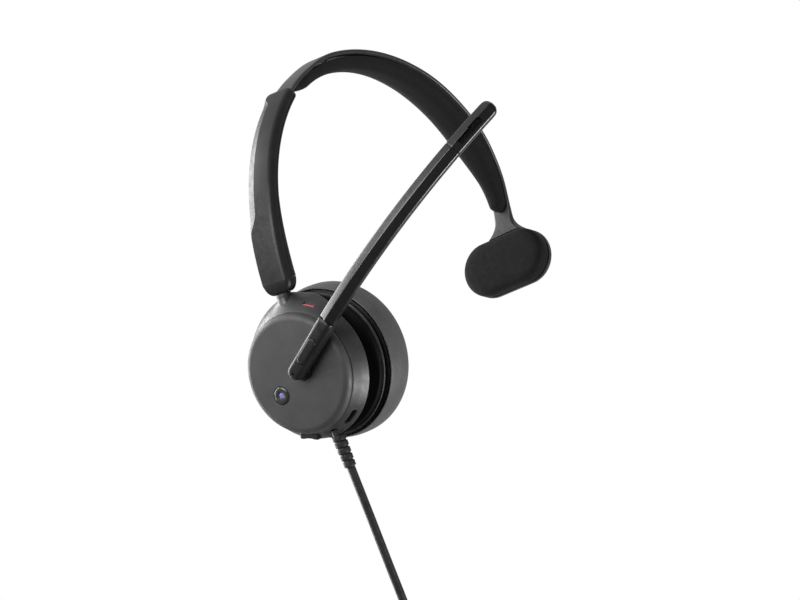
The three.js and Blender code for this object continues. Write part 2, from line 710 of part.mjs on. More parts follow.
const makeBusylight = () => atWall(
  box([-0.65, -LIGHT_LENGTH / 2, -1.6], [0.65, LIGHT_LENGTH / 2, 1.45]), LIGHT_ANGLE, LIGHT_X, 23.8,
);

const makeVentMesh = () => atWall(
  box([-1.1, -VENT_LENGTH / 2 + 0.4, -0.3], [1.1, VENT_LENGTH / 2 - 0.4, 0.2]), VENT_ANGLE, 2.2, 20.9,
);

function makeVolumeRocker() {
  const cap = box(
    [-ROCKER_WIDTH / 2, -ROCKER_LENGTH / 2, -1.6], [ROCKER_WIDTH / 2, ROCKER_LENGTH / 2, 1.5],
  );
  const dip = rod([-3, 0, 9.9], [3, 0, 9.9], 8.6, 24);
  return atWall(cut(cap, dip), ROCKER_ANGLE, WALL_X, 24.4);
}

// ---------------------------------------------------------------------------------------------
// The boom, built straight up from its pivot and then leaned forward
// ---------------------------------------------------------------------------------------------

const BOOM_PLACE = new THREE.Matrix4()
  .makeTranslation(0, BOOM_Y, BOOM_Z)
  .multiply(new THREE.Matrix4().makeRotationX(rad(BOOM_ANGLE)));

// The boom's middle line: straight at first, then bending inwards along one arc.
function boomPoint(along, depth, across) {
  const bend = Math.max(0, along - BOOM_STRAIGHT) / BOOM_BEND_RADIUS;
  const x = BOOM_X + BOOM_BEND_RADIUS * (1 - Math.cos(bend));
  const z = Math.min(along, BOOM_STRAIGHT) + BOOM_BEND_RADIUS * Math.sin(bend);
  return V(x + depth * Math.cos(bend), across, z - depth * Math.sin(bend));
}

function boomLoft(stations, section) {
  const rings = stations.map((along) => (
    section(along).map(([depth, across]) => boomPoint(along, depth, across))
  ));
  return transformed(loft(rings), BOOM_PLACE);
}

const boomStations = (from, to, count) => (
  Array.from({ length: count + 1 }, (_, i) => from + ((to - from) * i) / count)
);

// The boom's section: two outer facets that meet at a ridge, and trimmed corners on the inner side.
function boomSection(thick, width) {
  const [t, w] = [thick / 2, width / 2];
  return [
    [t, -0.55 * w], [t, 0.55 * w], [0.5 * t, w], [-0.52 * t, w],
    [-t, 0.04 * w], [-0.44 * t, -w], [0.5 * t, -w],
  ];
}

function makeBoomBase() {
  const round = BOOM_WIDTH / 2;
  const outline = new THREE.Shape();
  outline.absarc(0, 0, round, Math.PI, 2 * Math.PI, false);
  outline.lineTo(round, BOOM_BASE_END);
  outline.lineTo(-round, BOOM_BASE_END);
  outline.closePath();
  const half = BOOM_THICK / 2;
  const finger = plateX(outline, BOOM_X - half, BOOM_X + half);
  const shaft = rod([BOOM_X, 0, 0], [0.6, 0, 0], 3.9, 20);
  const groove = cut(rod([-1.4, 0, 0], [-0.3, 0, 0], 4.5, 20), rod([-2, 0, 0], [1, 0, 0], 2.9, 20));
  const buttonPocket = moved(
    plateX(uprightStadium(CALL_LENGTH + 0.4, CALL_WIDTH + 0.4), BOOM_X - half - 1, BOOM_X - half + 2.2),
    0, 0, CALL_CENTRE,
  );
  const micHole = rod([BOOM_X - 4, 0, -0.6], [BOOM_X - 0.5, 0, -0.6], 0.45, 10);
  return transformed(cut(join(finger, shaft), groove, buttonPocket, micHole), BOOM_PLACE);
}

function makeCallButton() {
  const face = BOOM_X - BOOM_THICK / 2;
  const cap = plateX(uprightStadium(CALL_LENGTH, CALL_WIDTH), face - 0.3, face + 1.0);
  return transformed(moved(cap, 0, 0, CALL_CENTRE), BOOM_PLACE);
}

function makeCallSwitch() {
  const face = BOOM_X - BOOM_THICK / 2;
  const bodyBox = box([face + 1.7, -1.2, CALL_CENTRE - 2], [face + 2.0, 1.2, CALL_CENTRE + 2]);
  return transformed(bodyBox, BOOM_PLACE);
}

function makeBoomArm() {
  const outer = boomLoft(boomStations(BOOM_BASE_END + GAP, BOOM_MIC_START, 14), () => (
    boomSection(BOOM_THICK, BOOM_WIDTH - 0.1)
  ));
  const bore = boomLoft(boomStations(BOOM_BASE_END - 1, BOOM_MIC_START + 1, 14), () => (
    trimmedSection(-1.4, 1.4, 3.4, 0.8)
  ));
  return cut(outer, bore);
}

const makeBoomWire = () => boomLoft(boomStations(BOOM_BASE_END + 1, BOOM_MIC_START - 1, 10), () => (
  trimmedSection(-0.6, 0.6, 1.2, 0.35)
));

function makeMicTip() {
  const from = BOOM_MIC_START + GAP;
  const stations = [from, from + 8, from + 16, BOOM_END - 4, BOOM_END - 2.4, BOOM_END - 1, BOOM_END];
  const body = boomLoft(stations, (along) => {
    const left = (BOOM_END - along + 0.35) / 3.4;
    const round = left >= 1 ? 1 : Math.sqrt(1 - (1 - left) ** 2);
    return boomSection(BOOM_THICK * round, BOOM_WIDTH * round);
  });
  const pocket = boomLoft(boomStations(105.5, 116.5, 3), () => trimmedSection(-4, -0.4, 2.6, 0.05));
  return cut(body, pocket);
}

const makeMicGrille = () => boomLoft(boomStations(105.9, 116.1, 3), () => (
  trimmedSection(-2.1, -1.7, 2.0, 0.05)
));

const makeMicCapsule = (along) => boomLoft([along, along + 3], () => (
  trimmedSection(-1.4, -0.7, 2.0, 0.1)
));

const makeBoomRetainer = () => moved(turnedX([
  [-1.1, 3.2], [-1.1, 5.9], [-0.6, 5.9], [-0.6, 3.2],
], 20), 0, BOOM_Y, BOOM_Z);

const makeFrictionWasher = () => moved(turnedX([
  [-1.6, 4.3], [-1.6, 6.0], [-1.35, 6.0], [-1.35, 4.3],
], 20), 0, BOOM_Y, BOOM_Z);

// ---------------------------------------------------------------------------------------------
// The strain relief, the cord and what is on it
// ---------------------------------------------------------------------------------------------

function makeStrainRelief() {
  const profile = [[0, 1.95], [0, 2.1], [-2.4, 2.1], [-2.4, 2.65], [-4.2, 2.65]];
  const pitch = (RELIEF_LENGTH - 4.4) / 4;
  for (let i = 0; i < 4; i += 1) {
    const top = -4.2 - pitch * i;
    const r = 2.62 - 0.1 * i;
    profile.push([top - 0.2, r - 0.45], [top - 0.6, r - 0.45], [top - 0.8, r], [top - pitch + 0.1, r]);
  }
  profile.push([-RELIEF_LENGTH, 2.3], [-RELIEF_LENGTH, 0.8], [0, 0.8]);
  const lean = new THREE.Matrix4()
    .makeTranslation(RELIEF_X, RELIEF_Y, RELIEF_START)
    .multiply(new THREE.Matrix4().makeRotationX(rad(-RELIEF_LEAN)));
  return transformed(turnedZ(profile, 12), lean);
}

const makeCord = () => tube(CORD_ROUTE, CORD_RADIUS, 8, 20);
const makeCordTail = () => tube(TAIL_ROUTE, CORD_RADIUS, 8, 2);

function makeCoil() {
  const [t, w] = [COIL_HALF_THICK, COIL_HALF_WIDTH];
  const r = COIL_MID_RADIUS;
  const ring = turnedX([
    [-w, r - t + 2], [-w, r + t - 2], [-w + 2, r + t], [w - 2, r + t], [w, r + t - 2],
    [w, r - t + 2], [w - 2, r - t], [-w + 2, r - t],
  ], 28);
  return moved(ring, ...COIL_CENTRE);
}

// A strap round the bundle of turns.
function makeCoilTie() {
  const [t, w] = [COIL_HALF_THICK + GAP, COIL_HALF_WIDTH + GAP];
  const [low, high] = [COIL_MID_RADIUS - t - TIE_SLACK, COIL_MID_RADIUS + t];
  const [wide, deep] = [w + TIE_THICK, TIE_WIDTH / 2];
  const loop = cut(
    box([-wide, -deep, low - TIE_THICK], [wide, deep, high + TIE_THICK]),
    box([-w, -TIE_WIDTH, low], [w, TIE_WIDTH, high]),
  );
  const turn = new THREE.Matrix4().makeTranslation(...COIL_CENTRE)
    .multiply(new THREE.Matrix4().makeRotationX(rad(TIE_ANGLE)));
  return transformed(loop, turn);
}

// The plug hangs with its metal tongue down.
function makePlugBody() {
  const top = PLUG_TOP - PLUG_BOOT;
  const boot = rod([PLUG_X, PLUG_Y, PLUG_TOP], [PLUG_X, PLUG_Y, top - 1], 2.6, 14);
  const grip = moved(plateZ(stadium(11, 6.4), top - PLUG_BODY, top), PLUG_X, PLUG_Y, 0);
  return join(boot, grip);
}

function makePlugTongue() {
  const top = PLUG_TOP - PLUG_BOOT - PLUG_BODY - GAP;
  const outer = plateZ(stadium(8.3, 2.5), top - PLUG_TONGUE, top, 4);
  const mouth = plateZ(stadium(7.7, 1.9), top - PLUG_TONGUE - 1, top - 1, 4);
  return moved(cut(outer, mouth), PLUG_X, PLUG_Y, 0);
}

function makePlugContacts() {
  const top = PLUG_TOP - PLUG_BOOT - PLUG_BODY - GAP - 1 - GAP;
  return box([PLUG_X - 3, PLUG_Y - 0.35, top - 4.4], [PLUG_X + 3, PLUG_Y + 0.35, top]);
}

// ---------------------------------------------------------------------------------------------
// Assembly
// ---------------------------------------------------------------------------------------------

const headset = new THREE.Group();
headset.add(cup);

addPart(headset, 'headband_frame', makeHeadbandFrame(), satinBlack);
addPart(headset, 'spring_core', makeSpringCore(), steel);
addPart(headset, 'headband_pad', makeHeadbandPad(), softPad);
addPart(headset, 'strip_end_stop', makeEndStop(), steel);
addPart(headset, 'temple_pad', makeTemplePad(), softPad);

const swivelBore = transformed(rod([NECK_X, 0, 28], [NECK_X, 0, 37], 1.65), cup.matrix);
addPart(headset, 'sleeve_outer_shell', makeSleeveOuter(swivelBore), satinBlack);
addPart(headset, 'sleeve_inner_shell', makeSleeveInner(), satinBlack);
addPart(headset, 'detent_leaf', makeDetentLeaf(), steel);

addPart(cup, 'cup_body', makeCupBody(), satinBlack);
addPart(cup, 'cup_cover', makeCupCover(), matteBlack);
SCREW_ANGLES.forEach((angle, i) => {
  addPart(cup, `cover_screw_${i + 1}`, makeCoverScrew(angle), steel);
});
addPart(cup, 'neck_pin', join(
  rod([NECK_X, 0, 25.5], [NECK_X, 0, 35.4], 1.3, 16), rod([NECK_X, 0, 35.2], [NECK_X, 0, 36], 1.9, 16),
), steel);
addPart(cup, 'main_board', makeMainBoard(), board);
addPart(cup, 'busylight_lens', makeBusylight(), redLens);
addPart(cup, 'vent_mesh', makeVentMesh(), rubber);
addPart(cup, 'status_switch', makeStatusSwitch(), rubber);
addPart(cup, 'friction_washer', makeFrictionWasher(), steel);
addPart(cup, 'gimbal_bracket', makeGimbalBracket(), rubber);
addPart(cup, 'strain_relief', makeStrainRelief(), rubber);

addPart(cup, 'volume_rocker', makeVolumeRocker(), rubber);
addPart(cup, 'status_button', makeStatusButton(), glossBlack);
addPart(cup, 'status_light', makeStatusLight(), blueLens);

addPart(cup, 'speaker_housing', makeSpeakerHousing(), rubber);
addPart(cup, 'gimbal_pin_front', makeGimbalPin(-1), steel);
addPart(cup, 'gimbal_pin_rear', makeGimbalPin(1), steel);
addPart(cup, 'baffle_plate', makeBaffle(), satinBlack);
addPart(cup, 'driver_frame', makeDriverFrame(), satinBlack);
addPart(cup, 'driver_magnet', makeMagnet(), steel);
addPart(cup, 'driver_diaphragm', makeDiaphragm(), film);
addPart(cup, 'speaker_grille', makeSpeakerGrille(), rubber);
addPart(cup, 'cushion_ring', makeCushionRing(), satinBlack);
addPart(cup, 'ear_cushion', makeEarCushion(), leatherette);

addPart(cup, 'boom_base', makeBoomBase(), satinBlack);
addPart(cup, 'boom_retainer', makeBoomRetainer(), steel);
addPart(cup, 'call_switch', makeCallSwitch(), rubber);
addPart(cup, 'boom_arm', makeBoomArm(), glossBlack);
addPart(cup, 'boom_wire', makeBoomWire(), rubber);
addPart(cup, 'mic_tip', makeMicTip(), glossBlack);
addPart(cup, 'mic_grille', makeMicGrille(), rubber);
addPart(cup, 'mic_capsule_1', makeMicCapsule(106), steel);
addPart(cup, 'mic_capsule_2', makeMicCapsule(112.5), steel);
addPart(cup, 'call_button', makeCallButton(), satinBlack);

addPart(headset, 'cord', makeCord(), rubber);
addPart(headset, 'cord_coil', makeCoil(), rubber);
addPart(headset, 'coil_tie', makeCoilTie(), matteBlack);
addPart(headset, 'cord_tail', makeCordTail(), rubber);
addPart(headset, 'plug_body', makePlugBody(), rubber);
addPart(headset, 'plug_shell', makePlugTongue(), steel);
addPart(headset, 'plug_contacts', makePlugContacts(), contact);

export default headset;
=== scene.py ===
"""The office headset's looks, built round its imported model.

Everything is measured in millimetres in the part's own frame and scaled to metres when a mesh is made.
The headband's arch lies in the XZ plane, the ear cup is at -X, and -Y is the wearer's front.
"""
import math

import bmesh
import bpy
from mathutils import Matrix, Vector


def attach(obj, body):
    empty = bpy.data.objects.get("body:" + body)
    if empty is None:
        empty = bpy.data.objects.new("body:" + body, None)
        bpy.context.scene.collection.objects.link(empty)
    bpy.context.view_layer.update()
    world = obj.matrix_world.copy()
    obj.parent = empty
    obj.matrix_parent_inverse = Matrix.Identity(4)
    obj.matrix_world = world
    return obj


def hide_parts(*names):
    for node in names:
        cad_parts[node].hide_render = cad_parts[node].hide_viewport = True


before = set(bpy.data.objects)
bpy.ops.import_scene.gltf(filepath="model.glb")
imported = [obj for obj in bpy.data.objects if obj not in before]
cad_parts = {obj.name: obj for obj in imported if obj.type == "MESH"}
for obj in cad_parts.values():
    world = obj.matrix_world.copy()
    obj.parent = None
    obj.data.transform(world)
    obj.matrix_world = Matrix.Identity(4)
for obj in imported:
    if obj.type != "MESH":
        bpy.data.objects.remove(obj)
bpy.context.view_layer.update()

MM = 0.001

# ------------ Driving dimensions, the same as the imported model's ------------

GAP = 0.3
HEAD_HALF = 65.9

ARCH_X = -11.3
ARCH_TOP_Z = 130.8
TOP_RADIUS = 107.3
TOP_HALF_ANGLE = 15
SIDE_RADIUS = 86.4
STRIP_START = 8
STRIP_RECESS = 1.0
STRIP_WIDTH = 9.6
STRIP_THICK = 1.4
FRAME_THICK = 1.7
ARM_VEER = 5.0
ARM_GROWTH = 2.2
ARM_END = 170
BRIDGE_START = 46.8
BRIDGE_GROWTH = 0.3
TEMPLE_Y = 2.6
TEMPLE_Z = 49.2
TEMPLE_LEAN = 4.6
TEMPLE_ROLL = 4.3
TEMPLE_LENGTH = 42
TEMPLE_HEIGHT = 24.2
TEMPLE_PAD_THICK = 6.4
TEMPLE_SHELL_THICK = 2.6
PAD_START = 49.5
PAD_END = 160
PAD_INNER = 7.4

SLEEVE_TOP = 46
SLEEVE_BOTTOM = -14.5
SLEEVE_WIDTH = 12.3
SLEEVE_OUTER = 0.6
SLEEVE_INNER = 4.2
SLEEVE_INNER_LOW = 6.4
SLEEVE_WALL = 1.1
SLEEVE_SPLIT = 2.8
SOCKET_TOP = -11.2

CUP_TILT = 14.5
CUP_DEPTH = 31
FACE_X = -3.2
FACE_RADIUS = 20
SEAM_RADIUS = 22.9
RIM_X = 5.8
RIM_RADIUS = 26.4
SHELL = 1.4
FLOOR_X = 3.8
FLOOR_THICK = 1.4
SADDLE_DEPTH = 4.2
SADDLE_RISE = 2.2
NECK_X = 6.3
FLANGE_X = 14.4
FLANGE_RADIUS = 27.5
CUSHION_X = 17.2
CUSHION_RADIUS = 30
CUSHION_HOLE = 12

SCREW_RING = 17.5
SCREW_ANGLES = [90, 210, 330]
GIMBAL_X = 9.4
STATUS_Y = 9.3
STATUS_Z = -5.8
STATUS_RADIUS = 3.4
LIGHT_ANGLE = 26
LIGHT_X = 3.3
LIGHT_RADIUS = 23.8
LIGHT_LENGTH = 4.8
VENT_ANGLE = 149
VENT_LENGTH = 7.4
VENT_WIDTH = 1.9
ROCKER_ANGLE = 197
ROCKER_LENGTH = 8.4
ROCKER_WIDTH = 2.6
WALL_X = 3.2
WALL_RADIUS = 24.4

BOOM_Y = -3.5
BOOM_Z = 1.1
BOOM_ANGLE = 54.9
BOOM_X = -6.4
BOOM_WIDTH = 6.4
BOOM_THICK = 5.2
BOOM_BASE_END = 24.6
BOOM_STRAIGHT = 20
BOOM_BEND_RADIUS = 172
BOOM_MIC_START = 102.5
MIC_POCKET_START = 105.6
MIC_POCKET_END = 116.8
BOOM_END = 124
CALL_CENTRE = 10.2
CALL_LENGTH = 11.6
CALL_WIDTH = 3.5

CORD_RADIUS = 1.6
CORD_LANDING = (-62.4, -6.15, -149.34)      # where the drop meets the coil
RELIEF_X = 4.0
RELIEF_Y = -4.0
RELIEF_START = -24.2
RELIEF_LENGTH = 14.6
RELIEF_LEAN = 3.6

# The free cord's middle line below the strain relief, the coil that hangs from it, and the tail.
CORD_ROUTE = [
    (-82.1, -5.0, -45.1), (-81.3, -5.2, -48.3), (-79.5, -5.6, -55.2), (-77.2, -6.1, -64.0),
    (-74.9, -6.6, -73.0), (-72.6, -7.1, -82.0), (-70.2, -7.6, -91.0), (-67.9, -8.1, -100.0),
    (-65.8, -8.7, -109.0), (-64.2, -9.3, -118.0), (-63.2, -9.9, -127.0), (-62.6, -10.4, -136.0),
    (-62.4, -10.5, -142.0), (-62.4, -9.4, -146.2),
]
COIL_CENTRE = (-57.1, -2, -173.4)
COIL_MID_RADIUS = 17.6
COIL_HALF_THICK = 7.2
COIL_HALF_WIDTH = 7.1
COIL_LAYERS = 4
COIL_COLUMNS = 4
COIL_PITCH = 3.55               # between neighbouring turns
COIL_STEPS = 24                 # points in each turn of the coil
TIE_ANGLE = 38
TIE_WIDTH = 10
TIE_THICK = 1.2
TIE_SLACK = 1.4
TAIL_ROUTE = [(-51.8, 21.0, -187.0), (-51.8, 21.05, -191.5), (-51.8, 21.1, -196.0)]
PLUG_X = -51.8
PLUG_Y = 21.1
PLUG_TOP = -196.3
PLUG_BOOT = 6
PLUG_BODY = 17
PLUG_TONGUE = 6.6

# ------------ Frames ------------


def turn(degrees, axis):
    return Matrix.Rotation(math.radians(degrees), 4, axis)


def moved(place, x, y, z):
    return place @ Matrix.Translation((x, y, z))


PART = Matrix.Identity(4)
CUP = moved(
    PART, -HEAD_HALF - CUP_DEPTH * math.cos(math.radians(CUP_TILT)), 0,
    -CUP_DEPTH * math.sin(math.radians(CUP_TILT)),
) @ turn(-CUP_TILT, "Y")
BOOM = moved(CUP, 0, BOOM_Y, BOOM_Z) @ turn(BOOM_ANGLE, "X")
TEMPLE = moved(PART, HEAD_HALF, TEMPLE_Y, TEMPLE_Z) @ turn(TEMPLE_LEAN, "Y") @ turn(-TEMPLE_ROLL, "X")
RELIEF = moved(CUP, RELIEF_X, RELIEF_Y, RELIEF_START) @ turn(-RELIEF_LEAN, "X")
STATUS = moved(CUP, 0, STATUS_Y, STATUS_Z)
COIL = moved(PART, *COIL_CENTRE)


def wall(angle, x, radius):
    """A place on the cup's side wall: x along the cup's axis, y round it and z outwards."""
    return CUP @ turn(angle, "X") @ Matrix.Translation((x, 0, radius))


def blend_in(value, low, high):
    t = min(1, max(0, (value - low) / (high - low)))
    return t * t * (3 - 2 * t)


# ------------ Mesh helpers ------------


def mesh_object(name, points, faces, place=PART, crease=38):
    """An object with its faces pointing out, from points in millimetres in the given frame."""
    mesh = bpy.data.meshes.new(name)
    mesh.from_pydata([(place @ Vector(p)) * MM for p in points], [], faces)
    tidy = bmesh.new()
    tidy.from_mesh(mesh)
    bmesh.ops.remove_doubles(tidy, verts=tidy.verts, dist=1e-6)
    bmesh.ops.recalc_face_normals(tidy, faces=tidy.faces)
    tidy.to_mesh(mesh)
    tidy.free()
    obj = bpy.data.objects.new(name, mesh)
    bpy.context.scene.collection.objects.link(obj)
    shade(obj, crease)
    return obj


def shade(obj, crease=38):
    obj.data.shade_smooth()
    obj.data.set_sharp_from_angle(angle=math.radians(crease))


def apply_modifiers(obj):
    bpy.context.view_layer.update()
    graph = bpy.context.evaluated_depsgraph_get()
    mesh = bpy.data.meshes.new_from_object(obj.evaluated_get(graph))
    obj.modifiers.clear()
    obj.data = mesh


def combine(obj, tools, operation, crease=38):
    """Joins tools to the object, or cuts them out of it, and removes them."""
    for tool in tools:
        modifier = obj.modifiers.new("combine", "BOOLEAN")
        modifier.operation = operation
        modifier.solver = "EXACT"
        modifier.object = tool
        apply_modifiers(obj)
        bpy.data.objects.remove(tool)
    shade(obj, crease)
    return obj


def cut(obj, *tools):
    return combine(obj, tools, "DIFFERENCE")


def join(obj, *tools):
    return combine(obj, tools, "UNION")


def rounded(corners, steps=5, closed=True):
    """A line through (u, v, radius) corners, each rounded by an arc of its radius."""
    line = []
    count = len(corners)
    for i, (u, v, radius) in enumerate(corners):
        corner = Vector((u, v))
        if radius <= 0 or (not closed and i in (0, count - 1)):
            line.append((u, v))
            continue
        back = (Vector(corners[i - 1][:2]) - corner).normalized()
        ahead = (Vector(corners[(i + 1) % count][:2]) - corner).normalized()
        half = math.acos(max(-1, min(1, back.dot(ahead)))) / 2
        reach = radius / math.tan(half)
        centre = corner + (back + ahead).normalized() * radius / math.sin(half)
        first, last = corner + back * reach - centre, corner + ahead * reach - centre
        sweep = math.atan2(first.x * last.y - first.y * last.x, first.dot(last))
        for k in range(steps + 1):
            angle = sweep * k / steps
            c, s = math.cos(angle), math.sin(angle)
            line.append((
                centre.x + first.x * c - first.y * s, centre.y + first.x * s + first.y * c,
            ))
    return line


def rounded_box(low, high, width, radius, steps=5):
    """A rounded rectangle as (height, across) points."""
    half = width / 2
    return rounded([
        (high, -half, radius), (high, half, radius), (low, half, radius), (low, -half, radius),
    ], steps)


def stadium(length, width, steps=14):
    """A stadium's outline, long in its first coordinate."""
    line = []
    straight = (length - width) / 2
    for side in (1, -1):
        for k in range(steps + 1):
            a = math.pi * k / steps - math.pi / 2
            line.append((side * (straight + width / 2 * math.cos(a)), side * width / 2 * math.sin(a)))
    return line


def upright(outline):
    return [(-v, u) for u, v in outline]


def skin(rings, count, closed):
    """The faces between neighbouring rings of count points, back to the first ring if closed."""
    faces = []
    for r in range(rings if closed else rings - 1):
        here, there = r * count, (r + 1) % rings * count
        for i in range(count):
            j = (i + 1) % count
            faces.append((here + i, here + j, there + j, there + i))
    return faces


def lofted(name, rings, place=PART, crease=38):
    """A closed skin through rings of points, with a flat face on each end."""
    count = len(rings[0])
    points = [p for ring in rings for p in ring]
    faces = skin(len(rings), count, False)
    faces += [tuple(range(count)), tuple(range(len(points) - count, len(points)))]
    return mesh_object(name, points, faces, place, crease)


def turned(name, profile, place=PART, segments=160, axis="X"):
    """A closed loop of (along, radius) turned round the X or Z axis."""
    points = []
    for s in range(segments):
        a = 2 * math.pi * s / segments
        for along, radius in profile:
            y, z = radius * math.cos(a), radius * math.sin(a)
            points.append((along, y, z) if axis == "X" else (y, z, along))
    return mesh_object(name, points, skin(segments, len(profile), True), place)


def rod(low, high, radius, place, segments=32, axis="X"):
    """A plain round rod, used for cutting."""
    return turned("rod", [(low, 0), (low, radius), (high, radius), (high, 0)], place, segments, axis)


def plate(name, outline, low, high, place=PART, edge=0.0, axis="X"):
    """An outline given depth along X or Z, with its top edge rounded by edge."""
    levels = [(low, 0.0)]
    steps = 5 if edge else 0
    for k in range(steps + 1):
        a = math.pi / 2 * (k / steps if steps else 0)
        levels.append((high - edge + edge * math.sin(a), edge * (1 - math.cos(a))))
    rings = []
    for level, inset in levels:
        ring = shrunk(outline, inset) if inset else outline
        rings.append([(level, u, v) if axis == "X" else (u, v, level) for u, v in ring])
    return lofted(name, rings, place)


def shrunk(outline, inset):
    """The outline moved inwards by inset."""
    area = sum(
        a[0] * b[1] - b[0] * a[1] for a, b in zip(outline, outline[1:] + outline[:1])
    )
    side = 1 if area > 0 else -1
    line = []
    for i, (u, v) in enumerate(outline):
        before, after = outline[i - 1], outline[(i + 1) % len(outline)]
        along = Vector((after[0] - before[0], after[1] - before[1]))
        if along.length < 1e-9:
            line.append((u, v))
            continue
        along.normalize()
        line.append((u - side * along.y * inset, v + side * along.x * inset))
    return line


def block(name, low, high, place=PART):
    """A plain box, used for cutting."""
    corners = [(x, y, z) for x in (low[0], high[0]) for y in (low[1], high[1]) for z in (low[2], high[2])]
    faces = [(0, 1, 3, 2), (4, 6, 7, 5), (0, 4, 5, 1), (2, 3, 7, 6), (0, 2, 6, 4), (1, 5, 7, 3)]
    return mesh_object(name, corners, faces, place)


def finish_piece(obj, material, body, slot, *nodes):
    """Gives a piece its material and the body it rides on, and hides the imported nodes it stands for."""
    obj.data.materials.clear()
    obj.data.materials.append(material)
    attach(obj, body)
    if nodes:
        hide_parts(*nodes)
    return obj


# ------------ Materials ------------


DEFAULT_LOOK = {
    "metal": 0.0, "specular": 0.5, "coat": 0.0, "sheen": 0.0,
    "tint": 0.15, "tint_size": 6.0,         # how much the colour varies, over how many mm
    "rub": 0.06, "rub_size": 2.0,           # the same for the roughness
    "grain": 0.0, "grain_size": 0.3,        # fine bumps, and their size in mm
    "pebble": 0.0, "pebble_size": 0.8,      # leather cells
    "wear": 0.0,                            # how much lighter the edges are
    "glow": None, "glow_strength": 0.0,
}
GRAIN_DEPTH = 0.03
PEBBLE_DEPTH = 0.12


def set_inputs(tree, node, inputs):
    """Gives each named input its value, or links it when the value is another node's socket."""
    for name, value in inputs.items():
        if isinstance(value, bpy.types.NodeSocket):
            tree.links.new(value, node.inputs[name])
        else:
            node.inputs[name].default_value = value


def add_node(tree, kind, inputs, **settings):
    node = tree.nodes.new("ShaderNode" + kind)
    for key, value in settings.items():
        setattr(node, key, value)
    set_inputs(tree, node, inputs)
    return node


def material(name, colour, roughness, **look):
    """A procedural surface. The look's keys are those of DEFAULT_LOOK."""
    look = DEFAULT_LOOK | look
    made = bpy.data.materials.new(name)
    made.use_nodes = True
    tree = made.node_tree
    place = add_node(tree, "TexCoord", {}).outputs["Object"]

    def clouds(size, detail=3.0):
        inputs = {"Scale": 1 / (size * MM), "Detail": detail, "Vector": place}
        return add_node(tree, "TexNoise", inputs).outputs["Fac"]

    def bump(height, strength, depth, below):
        """Bumps of the given depth in millimetres on top of the ones below."""
        inputs = {"Strength": abs(strength), "Distance": depth * MM, "Height": height}
        if below:
            inputs["Normal"] = below
        return add_node(tree, "Bump", inputs, invert=strength < 0).outputs["Normal"]

    ramp = add_node(tree, "ValToRGB", {"Fac": clouds(look["tint_size"])})
    for end, position, share in ((0, 0.3, -look["tint"]), (1, 0.7, look["tint"])):
        ramp.color_ramp.elements[end].position = position
        ramp.color_ramp.elements[end].color = [c * (1 + share) for c in colour] + [1]
    paint = ramp.outputs["Color"]
    if look["wear"]:
        sharpness = add_node(tree, "NewGeometry", {}).outputs["Pointiness"]
        edge = add_node(tree, "MapRange", {
            "Value": sharpness, "From Min": 0.51, "From Max": 0.60, "To Max": look["wear"],
        })
        worn = add_node(tree, "Mix", {
            "A": paint, "B": [min(1, c * 2.6 + 0.01) for c in colour] + [1],
            "Factor": edge.outputs["Result"],
        }, data_type="RGBA")
        paint = worn.outputs["Result"]

    spread = add_node(tree, "MapRange", {
        "Value": clouds(look["rub_size"]), "From Min": 0.3, "From Max": 0.7,
        "To Min": max(0.02, roughness - look["rub"]), "To Max": min(1, roughness + look["rub"]),
    })
    normal = None
    if look["pebble"]:
        cells = add_node(tree, "TexVoronoi", {
            "Scale": 1 / (look["pebble_size"] * MM), "Vector": place,
        }, feature="SMOOTH_F1")
        normal = bump(cells.outputs["Distance"], -look["pebble"], PEBBLE_DEPTH, normal)
    if look["grain"]:
        normal = bump(clouds(look["grain_size"], 2.0), look["grain"], GRAIN_DEPTH, normal)

    inputs = {
        "Base Color": paint, "Roughness": spread.outputs["Result"], "Metallic": look["metal"],
        "Specular IOR Level": look["specular"], "Coat Weight": look["coat"],
        "Coat Roughness": 0.1, "Sheen Weight": look["sheen"],
    }
    if normal:
        inputs["Normal"] = normal
    if look["glow"]:
        inputs["Emission Color"] = [*look["glow"], 1]
        inputs["Emission Strength"] = look["glow_strength"]
    set_inputs(tree, tree.nodes["Principled BSDF"], inputs)
    return made


def grey(level):
    return (level, level, level * 1.01)


FRAME_SATIN = material("frame_satin", grey(0.030), 0.38, grain=0.25, grain_size=0.25, wear=0.12)
SLEEVE_SATIN = material(
    "sleeve_satin", grey(0.015), 0.38, specular=0.25, grain=0.3, grain_size=0.25, wear=0.10,
)
CUP_SATIN = material("cup_body_satin", grey(0.034), 0.40, grain=0.3, grain_size=0.25, wear=0.10)
CUP_MATTE = material("cup_face_matte", grey(0.036), 0.55, grain=0.5, grain_size=0.22, wear=0.06)
PAD_SOFT = material(
    "pad_soft", grey(0.007), 0.80, specular=0.12, grain=0.6, grain_size=0.35, tint=0.1, sheen=0.05,
)
BOOM_SATIN = material(
    "boom_satin", grey(0.010), 0.36, specular=0.3, grain=0.2, grain_size=0.25, wear=0.12,
)
BOOM_GLOSS = material("boom_gloss", grey(0.006), 0.30, rub=0.03, tint=0.1, specular=0.8)
LEATHER = material(
    "ear_leather", grey(0.075), 0.50, specular=0.35, pebble=0.55, pebble_size=0.55, grain=0.3,
    tint=0.12, sheen=0.05,
)
BUTTON_GLOSS = material(
    "button_gloss", (0.030, 0.031, 0.026), 0.22, rub=0.05, coat=0.5, tint=0.1,
)
SCRIM = material("ear_scrim", grey(0.012), 0.9, grain=1.0, grain_size=0.45, sheen=0.1)
DEEP_BLACK = material("deep_black", grey(0.003), 0.7, specular=0.12, grain=0.2, rub=0.05)
RUBBER = material("black_rubber", grey(0.009), 0.50, grain=0.3, grain_size=0.3)
DARK_PLASTIC = material("dark_plastic", grey(0.015), 0.5, grain=0.3, grain_size=0.3)
CORD_JACKET = material("cord_jacket", grey(0.016), 0.42, grain=0.2, grain_size=0.5, rub=0.08)
TIE_FABRIC = material("tie_fabric", grey(0.020), 0.85, grain=1.0, grain_size=0.4, sheen=0.3)
